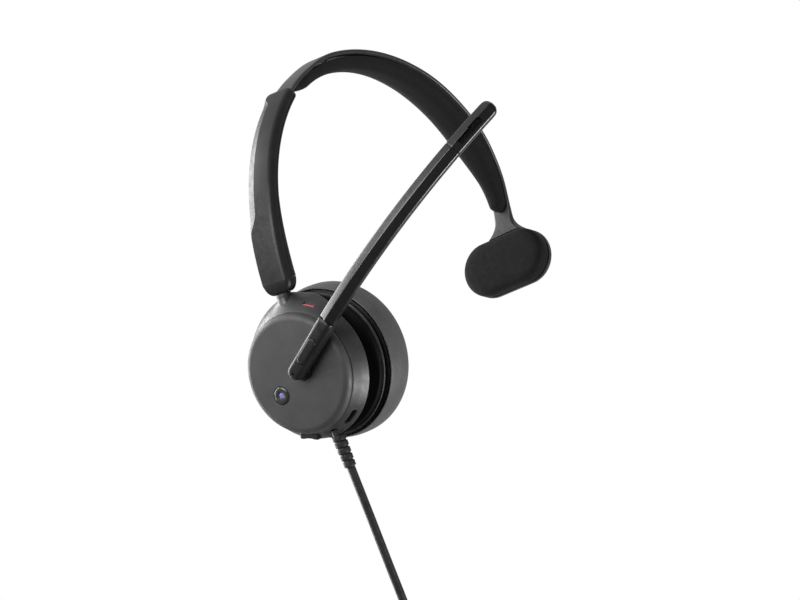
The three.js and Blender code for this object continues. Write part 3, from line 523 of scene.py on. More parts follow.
STEEL = material("steel", grey(0.55), 0.28, metal=1.0, rub=0.08, tint=0.08, tint_size=1.5)
GOLD = material("contact_gold", (0.62, 0.40, 0.13), 0.25, metal=1.0, rub=0.08)
BOARD = material("board_green", (0.015, 0.09, 0.04), 0.45, tint=0.25, tint_size=2.0)
FILM = material("film_cone", (0.55, 0.50, 0.36), 0.35, grain=0.2, tint=0.1)
RED_LIGHT = material(
    "busy_red", (0.42, 0.05, 0.07), 0.35, tint=0.2, tint_size=1.2,
    glow=(0.85, 0.16, 0.20), glow_strength=0.12,
)
BLUE_LIGHT = material(
    "status_blue", (0.10, 0.10, 0.35), 0.25, tint=0.3, tint_size=0.9,
    glow=(0.34, 0.36, 0.85), glow_strength=0.30,
)

# ------------ The camera and the free cord ------------

CAMERA_AZIMUTH = -56.28
CAMERA_ELEVATION = -11.85
CAMERA_ROLL = -10.80
CAMERA_DISTANCE = 789.45
CAMERA_TARGET = Vector((-76.4, -36.4, 11.4))
CAMERA_LENS = 96.1


def camera_axes():
    """The camera's right, up and backward directions."""
    azimuth, elevation = math.radians(CAMERA_AZIMUTH), math.radians(CAMERA_ELEVATION)
    back = Vector((
        math.sin(azimuth) * math.cos(elevation), -math.cos(azimuth) * math.cos(elevation),
        math.sin(elevation),
    ))
    right = Vector((math.cos(azimuth), math.sin(azimuth), 0))
    roll = Matrix.Rotation(math.radians(CAMERA_ROLL), 3, back)
    return roll @ right, roll @ back.cross(right), back


def make_camera():
    right, up, back = camera_axes()
    camera = bpy.data.objects.new("camera", bpy.data.cameras.new("camera"))
    camera.data.lens = CAMERA_LENS
    camera.data.sensor_width = 36
    camera.data.clip_start = 0.01
    facing = Matrix((right, up, back)).transposed().to_4x4()
    place = (CAMERA_TARGET + back * CAMERA_DISTANCE) * MM
    camera.matrix_world = Matrix.Translation(place) @ facing
    bpy.context.scene.collection.objects.link(camera)
    bpy.context.scene.camera = camera


def coil_slots():
    """The turns' places in the coil's section, in winding order: in and out, column by column."""
    slots = []
    for column in range(COIL_COLUMNS):
        layers = range(COIL_LAYERS)
        for layer in (reversed(layers) if column % 2 == 0 else layers):
            slots.append((
                (column - (COIL_COLUMNS - 1) / 2) * COIL_PITCH,
                COIL_MID_RADIUS + (layer - (COIL_LAYERS - 1) / 2) * COIL_PITCH,
            ))
    return slots


def coil_points():
    """The coil's middle line, from its top, over its rear side, to where the tail leaves it."""
    slots = coil_slots()
    points = []
    for step in range((len(slots) - 1) * COIL_STEPS + COIL_STEPS // 4 + 1):
        turns = step / COIL_STEPS
        index = min(int(turns), len(slots) - 1)
        after = slots[min(index + 1, len(slots) - 1)]
        shift = blend_in(turns - index, 0.70, 0.96)
        x = slots[index][0] + (after[0] - slots[index][0]) * shift
        radius = slots[index][1] + (after[1] - slots[index][1]) * shift
        angle = 2 * math.pi * turns
        points.append(COIL @ Vector((x, radius * math.sin(angle), radius * math.cos(angle))))
    return points


def make_cord():
    """The whole cord as one curve: the straight drop, the coil and the tail that ends in the plug."""
    inside = RELIEF @ Vector((0, 0, 3 - RELIEF_LENGTH))
    route = [inside] + [Vector(p) for p in [*CORD_ROUTE, CORD_LANDING]] + coil_points()
    route += [Vector(p) for p in TAIL_ROUTE] + [Vector((PLUG_X, PLUG_Y, PLUG_TOP - 2))]
    curve = bpy.data.curves.new("headset_cord", "CURVE")
    curve.dimensions = "3D"
    curve.bevel_depth = CORD_RADIUS * MM
    curve.bevel_resolution = 5
    curve.use_fill_caps = True
    curve.resolution_u = 6
    spline = curve.splines.new("BEZIER")
    spline.bezier_points.add(len(route) - 1)
    for knot, place in zip(spline.bezier_points, route):
        knot.co = place * MM
        knot.handle_left_type = knot.handle_right_type = "AUTO"
    cord = bpy.data.objects.new("headset_cord", curve)
    bpy.context.scene.collection.objects.link(cord)
    return finish_piece(cord, CORD_JACKET, "cup", "cord_jacket", "cord", "cord_coil", "cord_tail")


def ribbed_profile():
    """The strain relief's outline: a collar, then four segments that taper towards the cord."""
    corners = [(0, 2.1, 0), (-2.2, 2.1, 0), (-2.4, 2.65, 0.25), (-4.1, 2.65, 0.2)]
    pitch = (RELIEF_LENGTH - 4.4) / 4
    for rib in range(4):
        top = -4.2 - pitch * rib
        radius = 2.62 - 0.10 * rib
        corners += [
            (top - 0.15, radius - 0.45, 0.08), (top - 0.45, radius - 0.45, 0.08),
            (top - 0.65, radius, 0.15), (top - pitch + 0.1, radius - 0.06, 0.15),
        ]
    bore = CORD_RADIUS - 0.3
    corners += [(-RELIEF_LENGTH, 2.25, 0.2), (-RELIEF_LENGTH, bore, 0), (0, bore, 0)]
    return rounded(corners, 4)


def make_strain_relief():
    relief = turned("strain_relief_boot", ribbed_profile(), RELIEF, 48, "Z")
    return finish_piece(relief, RUBBER, "cup", "black_rubber", "strain_relief")


def make_coil_tie():
    """A hook-and-loop strap round the bundle of turns, with its free end lapped over."""
    half_width = COIL_HALF_WIDTH + GAP
    low = COIL_MID_RADIUS - COIL_HALF_THICK - GAP - TIE_SLACK
    high = COIL_MID_RADIUS + COIL_HALF_THICK + GAP
    frame_of_tie = COIL @ turn(TIE_ANGLE, "X")

    def strap(name, outer, thick, start, end):
        section = rounded([
            (-half_width, low, 2.2), (-half_width, high, 2.2), (half_width, high, 2.2),
            (half_width, low, 2.2),
        ], 6)
        loop = [Vector((p[0], 0, p[1])) for p in section]
        middle = Vector((0, 0, (low + high) / 2))
        count = len(loop)
        rings = []
        for i in range(start, end + 1):
            here, before, after = loop[i % count], loop[i - 1 if i else -1], loop[(i + 1) % count]
            along = (after - before).normalized()
            out = Vector((along.z, 0, -along.x))
            if out.dot(here - middle) < 0:
                out = -out
            base = here + out * outer
            wide = Vector((0, TIE_WIDTH / 2 - (0.6 if outer else 0), 0))
            soft = Vector((0, 0.35, 0))
            rings.append([
                base - wide + out * 0.25, base - wide + soft, base + wide - soft,
                base + wide + out * 0.25, base + wide + out * (thick - 0.25),
                base + wide - soft + out * thick, base - wide + soft + out * thick,
                base - wide + out * (thick - 0.25),
            ])
        return lofted(name, rings, frame_of_tie, 60)

    strap_loop = strap("strap", 0.0, TIE_THICK * 0.55, 0, 27)
    closing = strap("strap_lap", TIE_THICK * 0.5, TIE_THICK * 0.5, 6, 19)
    tie = join(strap_loop, closing)
    tie.name = "coil_strap"
    return finish_piece(tie, TIE_FABRIC, "cup", "tie_fabric", "coil_tie")


def make_plug():
    """The grip with its ribbed boot, and the metal tongue's shell."""
    place = moved(PART, PLUG_X, PLUG_Y, 0)
    top = PLUG_TOP - PLUG_BOOT
    boot = [(PLUG_TOP, CORD_RADIUS + 0.1, 0.1), (PLUG_TOP, 2.3, 0.3)]
    for rib in range(3):
        z = PLUG_TOP - 1.3 - 1.5 * rib
        boot += [(z, 2.4, 0.15), (z, 1.95, 0.1), (z - 0.5, 1.95, 0.1), (z - 0.5, 2.5, 0.2)]
    boot += [(top - 1, 2.6, 0), (top - 1, CORD_RADIUS + 0.1, 0)]
    neck = turned("plug_neck", rounded(boot, 3), place, 48, "Z")
    rings = []
    for depth, inset in soft_ends(PLUG_BODY, 1.0):
        rings.append([(u, v, top - depth) for u, v in shrunk(stadium(11, 6.4), inset)])
    grip = join(lofted("plug_grip", rings, place), neck)
    for side in (-1, 1):
        for groove in range(4):
            z = top - 6 - 1.8 * groove
            grip = cut(grip, block(
                "groove", (PLUG_X - 2.6, PLUG_Y + side * 2.95, z - 0.45),
                (PLUG_X + 2.6, PLUG_Y + side * 3.6, z + 0.45),
            ))
    finish_piece(grip, RUBBER, "cup", "black_rubber", "plug_body")

    low = top - PLUG_BODY - GAP - PLUG_TONGUE
    shell_rings = [
        [(u, v, z) for u, v in shrunk(stadium(8.3, 2.5), inset)]
        for z, inset in (
            (low + PLUG_TONGUE, 0.0), (low + 0.12, 0.0), (low, 0.1), (low, 0.22), (low + 0.2, 0.3),
            (low + PLUG_TONGUE - 1, 0.3),
        )
    ]
    tongue = lofted("plug_tongue", shell_rings, place)
    finish_piece(tongue, STEEL, "cup", "steel", "plug_shell")
    return [grip, tongue]


def soft_ends(length, radius, steps=5):
    """(depth, inset) stations of a bar whose two ends are rounded by a radius."""
    arc = [math.pi / 2 * k / steps for k in range(steps + 1)]
    near = [(radius * (1 - math.sin(a)), radius * (1 - math.cos(a))) for a in reversed(arc)]
    far = [(length - depth, inset) for depth, inset in reversed(near)]
    return near + far


make_camera()
cord = make_cord()
relief = make_strain_relief()
tie = make_coil_tie()
plug = make_plug()

# ------------ The headband ------------

TOP_CENTRE_Z = ARCH_TOP_Z - TOP_RADIUS
SIDE_CENTRE_Z = TOP_CENTRE_Z + (TOP_RADIUS - SIDE_RADIUS) * math.cos(math.radians(TOP_HALF_ANGLE))
SIDE_SHIFT = (TOP_RADIUS - SIDE_RADIUS) * math.sin(math.radians(TOP_HALF_ANGLE))


def band_point(angle, height, across):
    """A point on the band: its angle, its height above the arch's outer line, its place across."""
    side = (angle > 90 + TOP_HALF_ANGLE) - (angle < 90 - TOP_HALF_ANGLE)
    radius = (SIDE_RADIUS if side else TOP_RADIUS) + height
    centre_z = SIDE_CENTRE_Z if side else TOP_CENTRE_Z
    a = math.radians(angle)
    return (
        ARCH_X + side * SIDE_SHIFT - radius * math.cos(a), across, centre_z + radius * math.sin(a),
    )


def steps_between(low, high, size):
    count = max(1, round((high - low) / size))
    return [low + (high - low) * i / count for i in range(count + 1)]


def band_loft(name, angles, section, crease=38):
    rings = [[band_point(angle, h, a) for h, a in section(angle)] for angle in angles]
    return lofted(name, rings, PART, crease)


def frame_width(angle):
    widened = STRIP_WIDTH + 6.8 * blend_in(angle, 58, 116)
    return widened - 8.0 * blend_in(angle, 132, 161) + 14 * blend_in(angle, 162, 175)


def frame_top(angle):
    return -STRIP_RECESS * (1 - blend_in(angle, 57, 72)) - ARM_VEER * blend_in(angle, 148, 168)


def frame_section(angle):
    bridge = blend_in(angle, BRIDGE_START, 50) * (1 - blend_in(angle, 56, 60))
    thick = STRIP_THICK + (FRAME_THICK - STRIP_THICK) * blend_in(angle, 57, 72)
    thick += BRIDGE_GROWTH * bridge + ARM_GROWTH * blend_in(angle, 157, 167)
    top = frame_top(angle)
    edge = min(0.62, 0.42 * thick) + 0.5 * bridge
    flare = 9 * max(0, (min(angle, 168.5) - 162.5) / 6) ** 2.4
    return rounded_box(top - thick, top, frame_width(angle) + flare, edge, 6)


def make_headband():
    """The band, with the temple pad's shell joined to the end of its arm."""
    band = band_loft("headband_shell", steps_between(STRIP_START, ARM_END, 0.75), frame_section)
    shell_from = TEMPLE_PAD_THICK + GAP
    shell_to = shell_from + TEMPLE_SHELL_THICK
    room = plate("room", stadium(TEMPLE_LENGTH + 2, TEMPLE_HEIGHT + 1), -8, shell_from, TEMPLE)
    band = cut(band, room)
    shell = plate(
        "shell", stadium(TEMPLE_LENGTH, TEMPLE_HEIGHT, 30), shell_from, shell_to + 0.8, TEMPLE, 2.2,
    )
    band = join(band, shell)
    return finish_piece(band, FRAME_SATIN, "headband", "frame_satin", "headband_frame")


PAD_OUTER = FRAME_THICK + 3 * GAP + 0.05        # how far the pad's outer face lies below the arch
PAD_ROUNDS = 32                                 # steps across the pad's crowned face


def pad_section(angle):
    """The pad's crowned face, its outer face and its width at an angle."""
    ends = blend_in(angle, PAD_START - 1, PAD_START + 7) * (1 - blend_in(angle, 157, PAD_END + 1))
    width = (frame_width(angle) - 1.2) * (0.5 + 0.5 * ends)
    top = -PAD_OUTER - ARM_VEER * blend_in(angle, 148, 168)
    low = top - 0.55 - (PAD_INNER - PAD_OUTER - 0.55) * (0.3 + 0.7 * ends)
    return low, top, width


def make_headband_pad():
    """A dense foam pad: crowned on the head's side, pulled in at its edges, round at both ends."""
    rings = []
    for angle in steps_between(PAD_START, PAD_END, 0.8):
        low, top, width = pad_section(angle)
        end = min(angle - PAD_START, PAD_END - angle)
        closing = math.sqrt(max(0.02, 1 - (1 - min(1, end / 2.4)) ** 2))
        thick, half = (top - low) * closing, width / 2 * closing
        ring = []
        for k in range(PAD_ROUNDS + 1):
            u = -1 + 2 * k / PAD_ROUNDS
            crown = (1 - abs(u) ** 3) ** 0.7
            ring.append(band_point(angle, top - thick * (0.30 + 0.70 * crown), half * u))
        ring += [band_point(angle, top, side * half * 0.96) for side in (1, -1)]
        rings.append(ring)
    pad = lofted("headband_cushion", rings, PART, 50)
    finish_piece(pad, PAD_SOFT, "headband", "pad_soft", "headband_pad")


def make_temple_pad():
    """The pad on the temple: a stadium with a crowned face and a soft shoulder all round."""
    rings = []
    outline = stadium(TEMPLE_LENGTH, TEMPLE_HEIGHT, 30)
    for depth, inset in (
        (TEMPLE_PAD_THICK, 1.0), (TEMPLE_PAD_THICK - 0.05, 0.5), (TEMPLE_PAD_THICK - 0.4, 0.15),
        (TEMPLE_PAD_THICK - 1.0, 0.0), (3.2, 0.0), (2.2, 0.12), (1.4, 0.45), (0.8, 1.0), (0.4, 1.8),
        (0.17, 3.0), (0.06, 4.8), (0.0, 7.2), (-0.05, 9.6),
    ):
        rings.append([(depth, u, v) for u, v in shrunk(outline, inset)])
    pad = lofted("temple_cushion", rings, TEMPLE, 50)
    finish_piece(pad, PAD_SOFT, "headband", "pad_soft", "temple_pad")


# ------------ The sleeve ------------

FACET_WIDTH = 3.7               # the sleeve's slanted facet, on its outer rear edge
FACET_DROP = 0.95
BULB_START = -10.4              # below this angle the sleeve narrows to the cup's neck
NECK_SLIM = 2.95                # the radius of the cup's neck


def sleeve_inner(angle):
    return -(SLEEVE_INNER + (SLEEVE_INNER_LOW - SLEEVE_INNER) * (1 - blend_in(angle, -8, 22)))


def sleeve_close(angle):
    """How far in the sleeve's rounded top end is at an angle, as a share of its size."""
    left = (SLEEVE_TOP - angle) / 1.9
    return 1 if left >= 1 else 0.80 + 0.20 * math.sqrt(max(0, 1 - (1 - left) ** 2))


def sleeve_facet(angle):
    return 0.12 + 0.88 * blend_in(angle, 1, 7) * (1 - blend_in(angle, 40, 44.5))


def sleeve_outer_section(angle):
    close = sleeve_close(angle)
    half, facet = SLEEVE_WIDTH / 2 * close, sleeve_facet(angle)
    hollow, roof = min(SLEEVE_WIDTH / 2 - SLEEVE_WALL, half - 0.25), -STRIP_RECESS + GAP
    top = SLEEVE_OUTER - 1.3 * (1 - close)
    return rounded([
        (-SLEEVE_SPLIT, half, 0.2), (top - FACET_DROP * facet - 0.4, half, 0.5),
        (top, half - FACET_WIDTH * facet, 0.35), (top, -half, 2.2), (-SLEEVE_SPLIT, -half, 0.2),
        (-SLEEVE_SPLIT, -hollow, 0.05), (roof, -hollow, 0.2), (roof, hollow, 0.2),
        (-SLEEVE_SPLIT, hollow, 0.05),
    ], 6)


def sleeve_inner_section(angle):
    close = sleeve_close(angle)
    half = SLEEVE_WIDTH / 2 * close
    hollow = min(SLEEVE_WIDTH / 2 - SLEEVE_WALL, half - 0.25)
    low = sleeve_inner(angle) + 1.0 * (1 - close)
    wall_top = -SLEEVE_SPLIT - GAP * 0.5
    floor = min(low + 0.85, wall_top - 0.05)
    edge = min(1.7, 0.9 * (wall_top - low))
    return rounded([
        (wall_top, hollow, 0.02), (wall_top, half, 0.15), (low, half, edge), (low, -half, edge),
        (wall_top, -half, 0.15), (wall_top, -hollow, 0.02), (floor, -hollow, 0.02), (floor, hollow, 0.02),
    ], 6)


def socket_ring(angle):
    """The sleeve's lower end, which rounds off into the neck's round section."""
    top, low = SLEEVE_OUTER, sleeve_inner(angle)
    half = SLEEVE_WIDTH / 2
    section = rounded([
        (top - 0.4 - 0.12 * FACET_DROP, half, 0.5), (top, half - 0.12 * FACET_WIDTH, 0.35),
        (top, -half, 2.2), (low, -half, 1.7), (low, half, 1.7),
    ], 8)
    down = max(0, BULB_START - angle) / (BULB_START - SLEEVE_BOTTOM)
    narrow = 1 - math.sqrt(max(0, 1 - down * down))
    middle = (top + low) / 2
    ring = []
    for height, across in section:
        away = Vector((height - middle, across))
        neck = away.normalized() * (NECK_SLIM + 0.2)
        place = away.lerp(neck, narrow)
        ring.append(band_point(angle, middle + place.x, place.y))
    return ring


def sleeve_angles(start):
    """Angles from the sleeve's start to its top, close together where the top end is rounded."""
    return steps_between(start, SLEEVE_TOP - 1.9, 0.75) + steps_between(SLEEVE_TOP - 1.6, SLEEVE_TOP, 0.2)


def make_sleeve():
    """The outer shell with the socket that takes the cup's neck, and the shell on the head's side."""
    shell = band_loft("sleeve_outer", sleeve_angles(SOCKET_TOP - 0.3), sleeve_outer_section)
    down = [
        BULB_START + (SLEEVE_BOTTOM - BULB_START) * math.sin(math.pi / 2 * k / 16) for k in range(17)
    ]
    angles = [SOCKET_TOP] + [angle for angle in down if angle < SOCKET_TOP]
    socket = lofted("socket", [socket_ring(angle) for angle in angles])
    outer = join(shell, socket)
    finish_piece(outer, SLEEVE_SATIN, "sleeve", "sleeve_satin", "sleeve_outer_shell")
    inner = band_loft("sleeve_inner", sleeve_angles(SOCKET_TOP + 0.15), sleeve_inner_section)
    finish_piece(inner, SLEEVE_SATIN, "sleeve", "sleeve_satin", "sleeve_inner_shell")


make_headband()
make_headband_pad()
make_temple_pad()
make_sleeve()

# ------------ The ear cup ------------

NECK_AXIS_X = NECK_X - 0.6      # the neck stands a little nearer the face than its pin
NECK_SWELL = 2.6                # how high the body swells to meet the neck
SWELL_REACH = 4.0
SADDLE_RADIUS = 27


def saddle(angle):
    """1 where the body rises to the neck, over the cup's top, and 0 round the rest."""
    return 1 - blend_in(abs(angle), 16, 58)


def finer(path, longest):
    """The same path with points added until no step is longer than the given one."""
    points = [path[0]]
    for (x0, y0), (x1, y1) in zip(path, path[1:]):
        parts = max(1, math.ceil(math.hypot(x1 - x0, y1 - y0) / longest))
        points += [(x0 + (x1 - x0) * k / parts, y0 + (y1 - y0) * k / parts)
                   for k in range(1, parts + 1)]
    return points


def wall_rows():
    """The body's wall as (x, radius, how much deeper, how much higher) rows, outside then inside."""
    outside = rounded([
        (0.15, SEAM_RADIUS - 0.35, 0), (0.15, SEAM_RADIUS - 0.05, 0.15), (2.9, 24.75, 12),
        (RIM_X - 0.2, RIM_RADIUS, 0.5), (RIM_X + 0.4, RIM_RADIUS - 0.35, 0.3),
        (RIM_X + 0.4, RIM_RADIUS - SHELL, 0.2), (RIM_X, RIM_RADIUS - SHELL - 0.3, 0),
    ], 5, False)
    outside = finer(outside, 0.45)
    rows = []
    for x, radius in outside:
        part = min(1, max(0, (x - 0.2) / (RIM_X - 0.2)))
        rows.append((x, radius, part ** 1.6, 1 - (1 - part) ** 2))
    floor_top = FLOOR_X + FLOOR_THICK
    inside = [(floor_top, 24.3), (floor_top, 13), (FLOOR_X, 13), (FLOOR_X, 23.0)]
    rows += [(x, radius, 0, 0) for x, radius in inside]
    rows.append((0.15, SEAM_RADIUS - 0.1 - SHELL, 0, 0))
    return rows


def make_cup_body():
    """The body's wall and floor, its neck, and the openings in its wall."""
    rows = wall_rows()
    segments = 216
    points = []
    for s in range(segments):
        degrees = 360 * s / segments - 180
        rise = saddle(degrees)
        a = math.radians(degrees)
        for x, radius, deeper, higher in rows:
            depth = x + SADDLE_DEPTH * deeper * rise
            far = math.hypot(depth - NECK_AXIS_X, SADDLE_RADIUS * a)
            swell = NECK_SWELL * math.exp(-((far / SWELL_REACH) ** 2)) * higher
            r = radius + SADDLE_RISE * higher * rise + swell
            points.append((depth, -r * math.sin(a), r * math.cos(a)))
    body = mesh_object("cup_shell", points, skin(segments, len(rows), True), CUP)

    neck_top = (CUP.inverted() @ Vector(band_point(SLEEVE_BOTTOM, -2.5, 0))).z - 0.05
    neck = turned("neck", rounded([
        (22.8, 0, 0), (22.8, NECK_SLIM + 0.6, 0.1), (28.4, NECK_SLIM, 1.5),
        (neck_top, NECK_SLIM, 0.12), (neck_top, 0, 0),
    ], 6), moved(CUP, NECK_AXIS_X, 0, 0), 96, "Z")
    body = join(body, neck)

    window = LIGHT_LENGTH / 2 + 0.15
    light_place = wall(LIGHT_ANGLE, LIGHT_X, LIGHT_RADIUS)
    vent_place, rocker_place = (wall(a, WALL_X, WALL_RADIUS) for a in (VENT_ANGLE, ROCKER_ANGLE))
    rocker_room = (ROCKER_WIDTH / 2 + 0.25, ROCKER_LENGTH / 2 + 0.25)
    body = cut(
        body, rod(25.2, 34, 1.6, moved(CUP, NECK_X, 0, 0), 32, "Z"),
        rod(-30, -20, 2.3, moved(CUP, RELIEF_X, RELIEF_Y, 0), 48, "Z"),
        block("window", (-0.78, -window, -4), (0.78, window, 4), light_place),
        plate("vent", upright(stadium(VENT_LENGTH, VENT_WIDTH)), -3, 3, vent_place, axis="Z"),
        plate("rocker_room", box_outline(*rocker_room, 0.6), -3, 3, rocker_place, axis="Z"),
    )
    finish_piece(body, CUP_SATIN, "cup", "cup_body_satin", "cup_body")


def box_outline(half_u, half_v, radius):
    return rounded([
        (half_u, -half_v, radius), (half_u, half_v, radius), (-half_u, half_v, radius),
        (-half_u, -half_v, radius),
    ], 5)


def make_cup_cover():
    """The flat face with its wide round shoulder, bored for the boom's pivot and the round button."""
    cover = turned("cup_face", rounded([
        (FACE_X, 0, 0), (FACE_X, SEAM_RADIUS, SEAM_RADIUS - FACE_RADIUS - 0.1),
        (-0.15, SEAM_RADIUS, 0.25), (-0.15, SEAM_RADIUS - SHELL, 0.1), (-1.2, 20.3, 0.5),
        (FACE_X + SHELL, 18.9, 0.3), (FACE_X + SHELL, 0, 0),
    ], 12), CUP, 216)
    cover = cut(
        cover, rod(FACE_X - 1, 0, 4.2, moved(CUP, 0, BOOM_Y, BOOM_Z), 64),
        rod(FACE_X - 1, 0, STATUS_RADIUS + 0.16, STATUS, 96),
    )
    for angle in SCREW_ANGLES:
        a = math.radians(angle)
        place = moved(CUP, 0, -SCREW_RING * math.sin(a), SCREW_RING * math.cos(a))
        post = turned("post", rounded([
            (FACE_X + SHELL - 0.2, 0, 0), (FACE_X + SHELL - 0.2, 1.9, 0), (FLOOR_X - GAP, 1.9, 0.2),
            (FLOOR_X - GAP, 0.95, 0.1), (-0.6, 0.95, 0), (-0.6, 0, 0),
        ], 3), place, 32)
        cover = join(cover, post)
    finish_piece(cover, CUP_MATTE, "cup", "cup_face_matte", "cup_cover")


def make_busylight():
    place = wall(LIGHT_ANGLE, LIGHT_X, LIGHT_RADIUS)
    outline = box_outline(0.65, LIGHT_LENGTH / 2, 0.25)
    lens = plate("busylight_window", outline, -1.6, 1.5, place, 0.15, "Z")
    finish_piece(lens, RED_LIGHT, "cup", "busy_red", "busylight_lens")


def make_vent_screen():
    """Nine bars across the vent on four rails along it."""
    place = wall(VENT_ANGLE, 2.2, 20.9)
    half = VENT_LENGTH / 2 - 0.4
    bars = []
    for i in range(9):
        y = -VENT_LENGTH / 2 + 0.45 + (VENT_LENGTH - 0.9) * i / 8
        bars.append(block("bar", (-1.1, y - 0.12, -0.3), (1.1, y + 0.12, 0.2), place))
    rails = [
        block("rail", (x - 0.12, -half, -0.22), (x + 0.12, half, 0.12), place)
        for x in (-0.9, -0.3, 0.3, 0.9)
    ]
    screen = join(bars[0], *bars[1:], *rails)
    screen.name = "vent_screen"
    finish_piece(screen, DEEP_BLACK, "cup", "dark_plastic", "vent_mesh")


def make_volume_rocker():
    """A rubber key with a shallow dip in its middle and soft ends."""
    place = wall(ROCKER_ANGLE, WALL_X, WALL_RADIUS)
    half = ROCKER_WIDTH / 2
    steps = 24
    rings = []
    for i in range(steps + 1):
        y = -ROCKER_LENGTH / 2 + ROCKER_LENGTH * i / steps
        end = min(i, steps - i) / steps * ROCKER_LENGTH
        dip = 0.32 * math.exp(-((y / 1.8) ** 4))
        soft = 0.5 * (1 - math.sqrt(max(0, 1 - (1 - min(1, end / 0.8)) ** 2)))
        section = rounded([
            (half - soft * 0.6, -1.6, 0.1), (half - soft * 0.6, 1.4 - dip - soft, 0.4),
            (-half + soft * 0.6, 1.4 - dip - soft, 0.4), (-half + soft * 0.6, -1.6, 0.1),
        ], 5)
        rings.append([(x, y, z) for x, z in section])
    rocker = lofted("volume_key", rings, place, 50)
    finish_piece(rocker, RUBBER, "volume_rocker", "black_rubber", "volume_rocker")


def make_status_button():
    ring = turned("round_button", rounded([
        (-3.40, 1.1, 0.12), (-3.56, 2.0, 0.5), (-3.5, 2.9, 0.8), (-3.0, STATUS_RADIUS, 0.35),
        (-0.7, STATUS_RADIUS, 0.1), (-0.7, 1.1, 0.1),
    ], 6), STATUS, 96)
    finish_piece(ring, BUTTON_GLOSS, "status_button", "boom_gloss", "status_button")
    light = turned("button_light", rounded([
        (-3.44, 0, 0), (-3.40, 0.8, 0.4), (-3.2, 1.0, 0.2), (-0.9, 1.0, 0), (-0.9, 0, 0),
    ], 6), STATUS, 64)
    finish_piece(light, BLUE_LIGHT, "status_button", "status_blue", "status_light")


# ------------ The ear pad ------------


def make_speaker_housing():
    """The dish behind the cushion, its two gimbal lugs and its thin rim, a fine line in the gap."""
    dish = turned("speaker_dish", rounded([
        (12.1, 2, 0.1), (11.0, 2, 0.1), (11.0, 17.6, 0.15), (8.7, 17.6, 0.1), (8.7, 19.0, 0.2),
        (11.6, 19.2, 1.5), (13.4, 26.0, 0.4), (FLANGE_X, 26.7, 0.1),
        (FLANGE_X + 0.8, 26.7, 0.1), (FLANGE_X + 0.8, 25.6, 0.1), (13.9, 24.6, 0.5),
        (12.5, 18.6, 0.5),
    ], 5), CUP, 192)
    for side in (-1, 1):
        near, far = sorted((side * 10.2, side * 12.2))
        lug = block("lug", (GIMBAL_X - 1.7, near, -2.2), (11.3, far, 2.2), CUP)
        pin_room = rod(near - 1, far + 1, 1.15, moved(CUP, GIMBAL_X, 0, 0) @ turn(90, "Z"))
        dish = join(dish, cut(lug, pin_room))
    finish_piece(dish, DEEP_BLACK, "ear_pad", "dark_plastic", "speaker_housing")
    rim = turned("speaker_rim", rounded([
        (FLANGE_X, 26.6, 0.05), (FLANGE_X, FLANGE_RADIUS, 0.15), (FLANGE_X + 0.8, FLANGE_RADIUS, 0.15),
        (FLANGE_X + 0.8, 26.6, 0.05),
    ], 4), CUP, 192)
    finish_piece(rim, CUP_SATIN, "ear_pad", "cup_body_satin")


CUSHION_PROFILE = [
    (CUSHION_X + 0.1, 28.45, 0.2), (CUSHION_X + 0.1, 28.95, 0.5), (22.5, 29.75, 6),
    (CUP_DEPTH - 1.0, CUSHION_RADIUS, 3.4), (CUP_DEPTH, 25, 4.0), (CUP_DEPTH, 18.2, 4.6),
    (27.4, CUSHION_HOLE, 2.2), (19.8, CUSHION_HOLE, 0.8), (19.0, 13.8, 0.4), (19.0, 28.45, 0.2),
]


SEAM_X = 28.2                   # the seam round the cushion's outside
SEAM_DEPTH = 0.28
FOLD_DEPTH = 0.16               # the small folds in the cushion's hole
SWELL_LIMIT = 0.7               # how far the simulation may move the skin
SWELL_FRAMES = 14


def make_ear_cushion():
    """The leatherette ring: inflated by a short cloth simulation, then given its seam and folds."""
    profile = rounded(CUSHION_PROFILE, 4)
    cushion = turned("ear_ring", profile, CUP, 120)
    inflate(cushion)
    axis = (CUP.to_3x3() @ Vector((1, 0, 0))).normalized()
    inverse = CUP.inverted().to_3x3()
    for vertex in cushion.data.vertices:
        away = vertex.co / MM - CUP.translation
        along = away.dot(axis)
        out = away - axis * along
        radius = out.length
        out.normalize()
        local = inverse @ out
        round_by = math.atan2(local.z, local.y)
        fold = math.sin(23 * round_by) * 0.5 + math.sin(37 * round_by + 1.3) * 0.5
        move = FOLD_DEPTH * fold * blend_in(17.5 - radius, 0, 4) * blend_in(along, 20, 24)
        if radius > 24:
            move -= SEAM_DEPTH * math.exp(-(((along - SEAM_X) / 0.35) ** 2))
        vertex.co += out * move * MM
    divide = cushion.modifiers.new("smooth", "SUBSURF")
    divide.levels = divide.render_levels = 1
    apply_modifiers(cushion)
    shade(cushion, 60)
    finish_piece(cushion, LEATHER, "ear_pad", "ear_leather", "ear_cushion")


